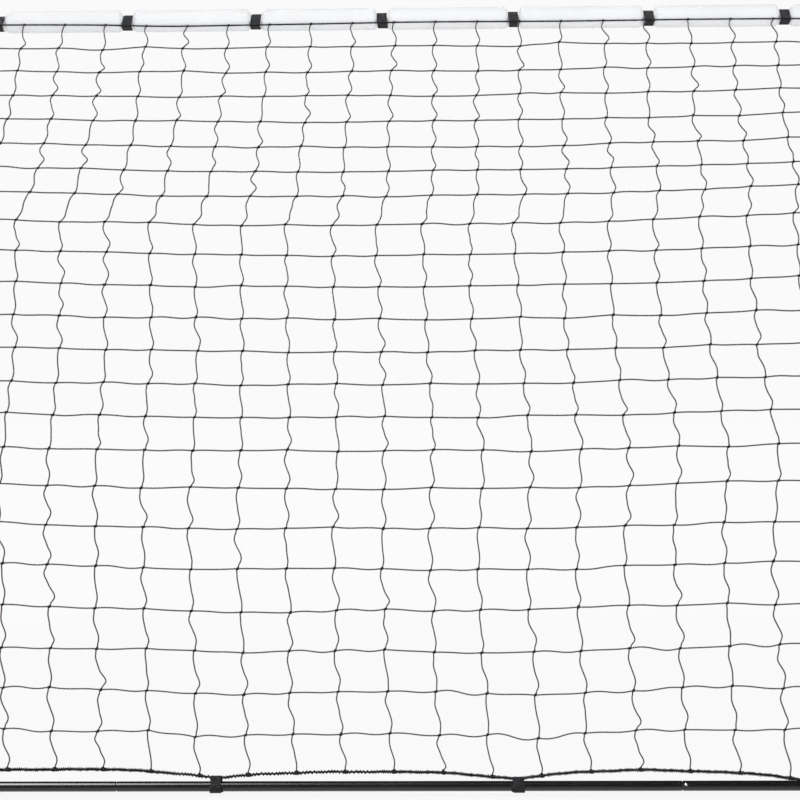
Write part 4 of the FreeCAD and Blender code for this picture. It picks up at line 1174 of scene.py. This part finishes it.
def drawn_in(radius, x, angle):
    """The padding's radius with a low neck at each strap and pleats beside it."""
    dropped = NECK_DROP * np.cos(angle)
    neck = -dropped + np.sqrt(NECK_RADIUS**2 - (NECK_DROP * np.sin(angle)) ** 2)
    for number, strap_x in enumerate(RAIL_STRAPS):
        draw = np.random.default_rng(PLEAT_SEED + number)
        away = np.abs(x - strap_x)
        climb = np.clip((away - NECK_HALF) / SHOULDER, 0, 1)
        full = np.sin(climb * math.pi / 2) ** 0.75
        radius = np.where(away < NECK_HALF + SHOULDER, neck + (radius - neck) * full, radius)
        side = np.sign(x - strap_x)
        pleats = draw.integers(9, 13) + (side > 0)
        wander = 0.6 * np.sin(2 * angle + draw.uniform(0, 6)) + side * draw.uniform(0.5, 2)
        fold = 1 - np.abs(np.sin(0.5 * (pleats * angle + wander) + draw.uniform(0, 6)))
        fade = np.exp(-np.maximum(away - NECK_HALF, 0) / PLEAT_FADE) * np.clip(away / NECK_HALF - 0.9, 0, 1)
        radius = radius - PLEAT_DEPTH * fold**1.5 * fade * (0.7 + 0.5 * np.sin(angle * 3 + number))
    return radius


def padding_points(places, shrink=0.0):
    """A grid of points, one ring for each place. The angle starts at the top and turns to the front."""
    angle = np.linspace(0, 2 * math.pi, AROUND, endpoint=False)
    x = places[:, None]
    plump = SLEEVE_RADIUS - 0.2 * MM + 0.35 * MM * np.sin(x * 31 + 2 * np.cos(angle)) * np.sin(x * 12.7)
    radius = drawn_in(plump - 0.3 * MM * np.cos(angle) ** 2, x, angle)
    radius = radius + SEAM_RISE * np.exp(-(((angle - SEAM_ANGLE) * SLEEVE_RADIUS / SEAM_HALF) ** 4))
    tuck = np.clip((SLEEVE_END - np.abs(x)) / END_TUCK, 0, 1)
    closing = np.sqrt(1 - (1 - tuck) ** 2)
    gathers = 0.5 * MM * np.sin(17 * angle) * np.sin(math.pi * tuck)
    radius = MOUTH_RADIUS + (radius - MOUTH_RADIUS) * closing + gathers
    radius = radius - shrink
    y = RAIL.y - radius * np.sin(angle)
    z = RAIL.z + radius * np.cos(angle)
    return np.stack([np.broadcast_to(x, radius.shape), y, z], -1), angle


print(len(ring_places()), "rings of", AROUND, "points")


# %% [markdown]
# The cover is a close plain weave with a thin matt coating, so it is smooth, dull and bright.
# The weave is two sets of ribs 0.7 mm apart in the measured UV map, and long shallow creases run
# through it. Two rows of stitches hold the seam: short dashes, each in a small dimple.

# %% White cover finish
STITCH_PITCH = 3.2 * MM
STITCH_APART = 1.9 * MM
STITCH_HALF = 0.35 * MM
STITCH_SHARE = 0.72
STITCH_WHITE = (0.7, 0.7, 0.71, 1)
THREAD_PITCH = 0.7 * MM


def seam_stitches(tree, round_cover, along):
    """1 on the thread of the seam's two rows of stitches and 0 elsewhere."""
    from_seam = maths(tree, "ABSOLUTE", maths(tree, "SUBTRACT", round_cover, SEAM_ANGLE * SLEEVE_RADIUS))
    from_row = maths(tree, "ABSOLUTE", maths(tree, "SUBTRACT", from_seam, STITCH_APART))
    in_row = maths(tree, "LESS_THAN", from_row, STITCH_HALF)
    beat = maths(tree, "FRACT", maths(tree, "DIVIDE", along, STITCH_PITCH))
    return maths(tree, "MULTIPLY", in_row, maths(tree, "LESS_THAN", beat, STITCH_SHARE))


def woven_cover():
    material, tree, shader = start_material("white_cover_cloth")
    round_cover, along = measured_run(tree)
    thread = 2 * math.pi / THREAD_PITCH
    warp = maths(tree, "SINE", maths(tree, "MULTIPLY", round_cover, thread))
    weft = maths(tree, "SINE", maths(tree, "MULTIPLY", along, thread))
    weave = maths(tree, "MULTIPLY", warp, weft)
    stitches = seam_stitches(tree, round_cover, along)
    place = object_place(tree)
    cloud = noise(tree, place, 7.0, 3.0)
    crease = noise(tree, stretched(tree, place, (1, 3, 3)), 26.0, 4.0)
    cloth = ramp(tree, cloud, [(0.3, (0.845, 0.845, 0.852)), (0.7, (0.885, 0.885, 0.89))])
    # Where the weave dips the colour is up to 8% darker: painted shade.
    weave_shade = maths(tree, "MULTIPLY_ADD", weave, 0.04, 0.96)
    shaded = add(tree, "ShaderNodeVectorMath", {0: cloth, "Scale": weave_shade}, operation="SCALE").outputs[0]
    set_inputs(tree, shader, {
        "Base Color": blend(tree, stitches, shaded, STITCH_WHITE),
        "Roughness": spread(tree, crease, 0.5, 0.68),
        "Specular IOR Level": 0.05,
        "Sheen Weight": 0.1,
        "Sheen Roughness": 0.4,
    })
    dented = maths(tree, "SUBTRACT", crease, maths(tree, "MULTIPLY", stitches, 0.6))
    bump(tree, shader, maths(tree, "MULTIPLY_ADD", weave, 0.15, dented), 0.45, 0.6 * MM)
    return material


# %% [markdown]
# Folds are best left to the cloth itself. The cover was sewn as a plain tube, and each strap draws a
# hand's breadth of it in, so there is more cloth round the rail there than the neck has room for. The
# trial piece below is that breadth of plain tube, and a shape key moves it to the drawn-in shape
# while Blender's cloth runs. The cloth under the strap is pinned, so it follows the key, and the rest
# buckles as it likes, with pressure for the foam and no gravity. The foam decides the broad shape and
# stops the cloth inwards, so of each point's move only the pleats are kept, and only so far.

# %% Let the cloth settle
CLOTH_REACH = 52 * MM
CLOTH_FRAMES = 20
DRAWN_BY = 12
FOAM_PRESSURE = 1000
STRAY = 0.3 * MM
PLEAT_CAP = 1.6 * MM
FOAM_CAP = 0.7 * MM
FEWEST_PLEATS = 4
CLOTH_SEED = 700


def sewn_tube(drawn, strap_x):
    """The drawn-in grid as the plain tube that it was sewn as, with its full length along the rail."""
    sewn = drawn.copy()
    sewn[..., 1:] = unit(drawn[..., 1:] - [RAIL.y, RAIL.z]) * SLEEVE_RADIUS + [RAIL.y, RAIL.z]
    lengths = np.linalg.norm(np.diff(drawn, axis=0), axis=-1).mean(1)
    marks = np.concatenate([[0], np.cumsum(lengths)])
    middle = np.interp(strap_x, drawn[:, 0, 0], marks)
    sewn[..., 0] = (marks - middle + strap_x)[:, None]
    return sewn


def settled(sewn, drawn, pinned):
    """Where Blender's cloth takes a sewn grid whose pinned rings are drawn in."""
    rings, around = sewn.shape[:2]
    number = np.arange(rings * around).reshape(rings, around)
    mesh = bpy.data.meshes.new("cloth_trial")
    mesh.from_pydata(sewn.reshape(-1, 3).tolist(), [], grid_quads(number)[:, ::-1].tolist())
    trial = bpy.data.objects.new("cloth_trial", mesh)
    bpy.context.scene.collection.objects.link(trial)
    trial.shape_key_add(name="sewn")
    key = trial.shape_key_add(name="drawn_in")
    key.data.foreach_set("co", drawn.astype(np.float32).ravel())
    for value, frame_number in ((0, 1), (1, DRAWN_BY)):
        key.value = value
        key.keyframe_insert("value", frame=frame_number)
    trial.vertex_groups.new(name="pins").add(number[pinned].ravel().tolist(), 1.0, "REPLACE")
    cloth = trial.modifiers.new("cloth", "CLOTH")
    cloth.settings.use_pressure = True
    cloth.settings.uniform_pressure_force = FOAM_PRESSURE
    cloth.settings.effector_weights.gravity = 0
    cloth.settings.vertex_group_mass = "pins"
    for step in range(1, CLOTH_FRAMES + 1):
        bpy.context.scene.frame_set(step)
    moved = trial.evaluated_get(bpy.context.evaluated_depsgraph_get()).data
    flat = np.zeros(rings * around * 3, np.float32)
    moved.vertices.foreach_get("co", flat)
    bpy.context.scene.frame_set(1)
    bpy.data.objects.remove(trial)
    return flat.reshape(rings, around, 3).astype(float)


def pleats_of(move, drawn):
    """What the cloth did, without its broad part, as moves outward from the rail."""
    outward = unit(drawn[..., 1:] - [RAIL.y, RAIL.z])
    out = (move[..., 1:] * outward).sum(-1)
    waves = np.fft.rfft(out, axis=1)
    waves[:, :FEWEST_PLEATS] = 0
    out = np.fft.irfft(waves, out.shape[1], axis=1)
    out = np.where(out > 0, PLEAT_CAP * np.tanh(out / PLEAT_CAP), FOAM_CAP * np.tanh(out / FOAM_CAP))
    return out[..., None] * np.concatenate([np.zeros_like(out)[..., None], outward], -1)


def cover_points(places):
    points = padding_points(places)[0]
    for number, strap_x in enumerate(RAIL_STRAPS):
        near = (np.abs(places - strap_x) < CLOTH_REACH) & (np.abs(places) < SLEEVE_END - END_TUCK)
        drawn = points[near]
        from_strap = np.abs(places[near] - strap_x)
        pinned = from_strap < NECK_HALF
        pinned[[0, 1, -2, -1]] = True
        sewn = sewn_tube(drawn, strap_x)
        draw = np.random.default_rng(CLOTH_SEED + number)
        sewn[~pinned] += draw.normal(0, STRAY, sewn[~pinned].shape)
        pleats = pleats_of(settled(sewn, drawn, pinned) - drawn, drawn)
        points[near] += pleats * ~pinned[:, None, None]
        print(f"strap {number}: pleats up to {np.linalg.norm(pleats, axis=-1).max() / MM:.1f} mm")
    return points


# %% Make the cover
def padding_mesh():
    places = ring_places()
    points = cover_points(places)
    rings, around = points.shape[:2]
    girth = 2 * math.pi * SLEEVE_RADIUS / around
    start = np.arange(around) * girth
    quads = grid_quads(np.arange(rings * around).reshape(rings, around))
    return points.reshape(-1, 3), quads, grid_run(start, start + girth, places)


def make_cover():
    cover = make_piece("white_rail_cover", padding_mesh(), woven_cover(), "rail_sleeve")
    skin = cover.modifiers.new("cloth", "SOLIDIFY")
    skin.thickness = 0.8 * MM
    skin.offset = -1


make_cover()


# %% [markdown]
# Inside the cover are three foam tubes on the steel. Only their ends could ever be seen, but the pack
# of solids has them, so they are made to the same pressed-in shape as the cover, a little smaller,
# with closed-cell foam's pitted surface and painted shade in its pits.

# %% Foam under the cover
FOAM_GAP = 2.2 * MM
FOAM_INSIDE = TUBE_RADIUS + 0.15 * MM
FOAM_LEAST = 0.3 * MM


def foam_finish():
    material, tree, shader = start_material("pale_foam")
    place = object_place(tree)
    pits_and_shade = add(tree, "ShaderNodeTexVoronoi", {"Vector": place, "Scale": 900.0}).outputs["Distance"]
    # The colour is darker in the pits, where the bump is low: painted shade.
    set_inputs(tree, shader, {
        "Base Color": ramp(tree, pits_and_shade, [(0.05, (0.55, 0.55, 0.54)), (0.5, (0.74, 0.74, 0.73))]),
        "Roughness": spread(tree, pits_and_shade, 0.75, 0.95),
    })
    bump(tree, shader, pits_and_shade, 0.6, 0.4 * MM)
    return material


def foam_mesh(places):
    """A tube of foam: its bore, its outside under the cover, and the bore again to close it."""
    outer, angle = padding_points(places, FOAM_GAP)
    ring = np.stack([-np.sin(angle), np.cos(angle)], -1) * FOAM_INSIDE
    inner = outer.copy()
    inner[..., 1:] = ring + np.array([RAIL.y, RAIL.z])
    thin = np.linalg.norm(outer[..., 1:] - [RAIL.y, RAIL.z], axis=-1) < FOAM_INSIDE + FOAM_LEAST
    least = inner[..., 1:] + ring / FOAM_INSIDE * FOAM_LEAST
    outer[..., 1:] = np.where(thin[..., None], least, outer[..., 1:])
    skin = np.concatenate([inner[:1], outer, inner[::-1]])
    number = np.arange((len(skin) - 1) * len(angle)).reshape(-1, len(angle))
    number = np.concatenate([number, number[:1]])
    along = np.concatenate([[0], np.cumsum(np.linalg.norm(np.diff(skin[:, 0], axis=0), axis=1))])
    girth = 2 * math.pi * FOAM_INSIDE / len(angle)
    start = np.arange(len(angle)) * girth
    return skin[:-1].reshape(-1, 3), grid_quads(number), grid_run(start, start + girth, along)


def make_foam(node, finish):
    low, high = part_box(node)
    places = ring_places()
    places = places[(places > low.x + 1 * MM) & (places < high.x - 1 * MM)]
    places = np.concatenate([[low.x], places, [high.x]])[::2]
    make_piece(f"{node}_tube", foam_mesh(places), finish, node)


foam_surface = foam_finish()
for foam_node in ("rail_foam_left", "rail_foam_middle", "rail_foam_right"):
    make_foam(foam_node, foam_surface)


# %% [markdown]
# The straps are 25 mm webbing with hook and loop on their faces. Webbing is a dense twill: fine
# ribs run across it and the edges are bound. The finish draws the ribs from the measured UV map,
# where 0 is the middle of the strap, with painted shade in the hollows between them.

# %% Webbing finish
def webbing():
    material, tree, shader = start_material("black_webbing")
    across_strap, along = measured_run(tree)
    across_ribs = maths(tree, "MULTIPLY", across_strap, 2 * math.pi / (1.3 * MM))
    along_ribs = maths(tree, "MULTIPLY", along, 2 * math.pi / (1.0 * MM))
    warp = maths(tree, "SINE", across_ribs)
    weft = maths(tree, "SINE", maths(tree, "MULTIPLY_ADD", warp, 1.2, along_ribs))
    weave = maths(tree, "MULTIPLY_ADD", weft, 0.5, 0.5)
    fuzz = noise(tree, object_place(tree), 700.0, 5.0, 0.75)
    worn = noise(tree, object_place(tree), 45.0, 3.0)
    # A random tone, darker where the weave and fuzz sit low in the bump: painted shade.
    fuzz_and_rib_shade = maths(tree, "MULTIPLY_ADD", fuzz, 0.5, maths(tree, "MULTIPLY", weave, 0.35))
    set_inputs(tree, shader, {
        "Base Color": ramp(tree, fuzz_and_rib_shade, [(0.15, (0.006, 0.006, 0.007)), (0.75, (0.018, 0.018, 0.020))]),
        "Roughness": spread(tree, worn, 0.7, 0.9),
        "Specular IOR Level": 0.15,
        "Sheen Weight": 0.05,
        "Sheen Roughness": 0.5,
    })
    bump(tree, shader, maths(tree, "MULTIPLY_ADD", fuzz, 0.8, weave), 0.9, 0.35 * MM)
    return material


WEBBING = webbing()
print("webbing finish:", WEBBING.name)


# %% [markdown]
# A strap is a belt pulled tight round two things: the padding and the head rope, the ground tube and
# the foot rope, or a stay and a side rope. Seen along the tube each of those is a circle, so the belt's
# line is the outline of two circles with the straight runs that touch both. The strap's tail
# laps over its own start and lies one thickness further out.

# %% Straps
STRAP_WIDTH = 2 * STRAP_HALF_WIDTH
STRAP_THICKNESS = 1.6 * MM
LAP_CLIMB = 7 * MM
LAP_RISE = 1.08
PINCH_REACH = 5 * MM
EDGE_SHAPE = ((1.0, 0.0), (0.975, 0.7), (0.9, 1.0), (0.45, 1.0), (0.0, 1.0))


def strap_section():
    """Half widths and half thicknesses round a strap's section, from one edge over the top and back."""
    top = [(side * share, rise) for side, order in ((1, 1), (-1, -1)) for share, rise in EDGE_SHAPE[::order]]
    top = [pair for number, pair in enumerate(top) if number != len(EDGE_SHAPE)]
    under = [(share, -rise) for share, rise in top[-2:0:-1]]
    return np.array(top + under)


def belt_line(circles, start, step=1.4 * MM):
    """A belt round circles (first, second, radius), beginning where it faces the start angle."""
    turn = start + np.linspace(0, 2 * math.pi, 1441)
    out = np.stack([np.cos(turn), np.sin(turn)], -1)
    circles = np.array(circles)
    which = (out @ circles[:, :2].T + circles[:, 2]).argmax(1)
    line = circles[which, :2] + out * circles[which, 2:]
    flat, marks = resample(np.column_stack([line, np.zeros(len(line))]), step)
    return flat[:, :2], marks


def lapped_line(circles, start, tail):
    """The belt's line with its tail over its own start, and how far each point stands out."""
    line, marks = belt_line(circles, start)
    length = marks[-1]
    lap = marks[1:] <= tail
    line = np.concatenate([line, line[1:][lap]])
    marks = np.concatenate([marks, length + marks[1:][lap]])
    climb = np.clip((marks - (length - LAP_CLIMB)) / LAP_CLIMB, 0, 1)
    return line, marks, STRAP_THICKNESS * (0.5 + LAP_RISE * climb * climb * (3 - 2 * climb))


def make_belt(circles, start, tail, place, stray=0.0, lean=0.0, pinch=None):
    """(points, quads, run) of a strap. place turns (across, first, second) into space.

    stray is how far the tail comes to lie to one side of the start, and lean how far the top
    of the strap is to one side of its bottom. pinch is a height at which the strap is squeezed
    narrower, with the share that it loses.
    """
    line, marks, rise = lapped_line(circles, start, tail)
    way = unit(np.gradient(line, axis=0))
    out = np.stack([way[:, 1], -way[:, 0]], -1)
    section = strap_section()
    middle = stray * (marks / marks[-1] - 0.5)
    middle = middle + lean * (line[:, 1] - line[:, 1].mean()) / np.ptp(line[:, 1])
    width = np.full(len(marks), STRAP_WIDTH)
    if pinch:
        width *= 1 - pinch[1] * np.exp(-(((line[:, 1] - pinch[0]) / PINCH_REACH) ** 2))
    crosswise = middle[:, None] + section[:, 0] * width[:, None] / 2
    thick = rise[:, None] + section[:, 1] * STRAP_THICKNESS / 2
    flat = line[:, None] + out[:, None] * thick[..., None]
    points = place(crosswise, flat[..., 0], flat[..., 1])
    number = np.arange(crosswise.size).reshape(crosswise.shape)
    here = section[:, 0] * STRAP_WIDTH / 2
    run = grid_run(here, np.roll(here, -1), marks)
    return close_ends(points.reshape(-1, 3), grid_quads(number), run, number[None, :, ::-1])


def finish_straps(name, node, parts):
    make_piece(name, join(parts), WEBBING, node)


# %% Straps of the rail
RAIL_TAIL = 34 * MM
RAIL_STRAY = 2 * MM
BACK_BELOW = math.radians(-30)
# How far each strap's top stands to the right of its bottom, in mm.
RAIL_LEANS = (2, 1, 9, 4, 3, -3, -3, -1, 0, 2, -1)


def place_on_rail(strap_x):
    """Turns (along the rail, y, z) into space."""
    return lambda crosswise, y, z: np.stack([strap_x + crosswise, y, z], -1)


def make_rail_straps():
    parts = []
    for strap_x, lean in zip(RAIL_STRAPS, RAIL_LEANS):
        rope = head_rope_at(strap_x)
        neck = (RAIL.y, RAIL.z - NECK_DROP, NECK_RADIUS + 0.1 * MM)
        circles = [neck, (rope[1], rope[2], HEAD_ROPE_RADIUS + 0.1 * MM)]
        place = place_on_rail(strap_x)
        parts.append(make_belt(circles, BACK_BELOW, RAIL_TAIL, place, RAIL_STRAY, lean * MM))
    finish_straps("rail_webbing_straps", "rail_straps", parts)


make_rail_straps()


# %% Straps of the ground tube
GROUND_TAIL = 42 * MM
GROUND_STRAY = 6 * MM
GROUND_START = math.radians(160)
GROUND_PINCH = (GROUND.z + 0.6 * TUBE_RADIUS, 0.13)


def make_ground_straps():
    parts = []
    for number, strap_x in enumerate(GROUND_STRAPS):
        rope = foot_rope_at(strap_x)
        tube = (GROUND.y, GROUND.z, TUBE_RADIUS + 0.1 * MM)
        circles = [tube, (rope[1], rope[2], FOOT_ROPE_RADIUS + 0.6 * MM)]
        stray = GROUND_STRAY if number % 2 else -GROUND_STRAY
        place = place_on_rail(strap_x)
        parts.append(make_belt(circles, GROUND_START, GROUND_TAIL, place, stray, pinch=GROUND_PINCH))
    finish_straps("ground_webbing_straps", "ground_straps", parts)


make_ground_straps()


# %% Straps of the sides
SIDE_TAIL = 30 * MM
SIDE_START = math.radians(170)


def place_on_side(side, mark):
    """Turns (along the stay, inward, square to both) into space, at a height up the net."""
    ahead, behind = on_side_view(np.array(mark + 2 * MM)), on_side_view(np.array(mark - 2 * MM))
    lean = unit(ahead - behind)
    middle = on_side_view(np.array(mark))

    def place(crosswise, inward, square):
        y = middle[0] + crosswise * lean[0] + square * lean[1]
        z = middle[1] + crosswise * lean[1] - square * lean[0]
        return np.stack([side * (STAY_X - inward), y, z], -1)

    return place


def make_side_straps(side, name):
    parts = []
    for mark in SIDE_STRAP_MARKS:
        reach = STAY_X - float(side_rope_across(mark))
        circles = [(0.0, 0.0, TUBE_RADIUS + 0.1 * MM), (reach, 0.0, SIDE_ROPE_RADIUS + 0.2 * MM)]
        parts.append(make_belt(circles, SIDE_START, SIDE_TAIL, place_on_side(side, mark)))
    finish_straps(f"side_webbing_straps_{name}", f"side_straps_{name}", parts)


make_side_straps(-1, "left")
make_side_straps(1, "right")
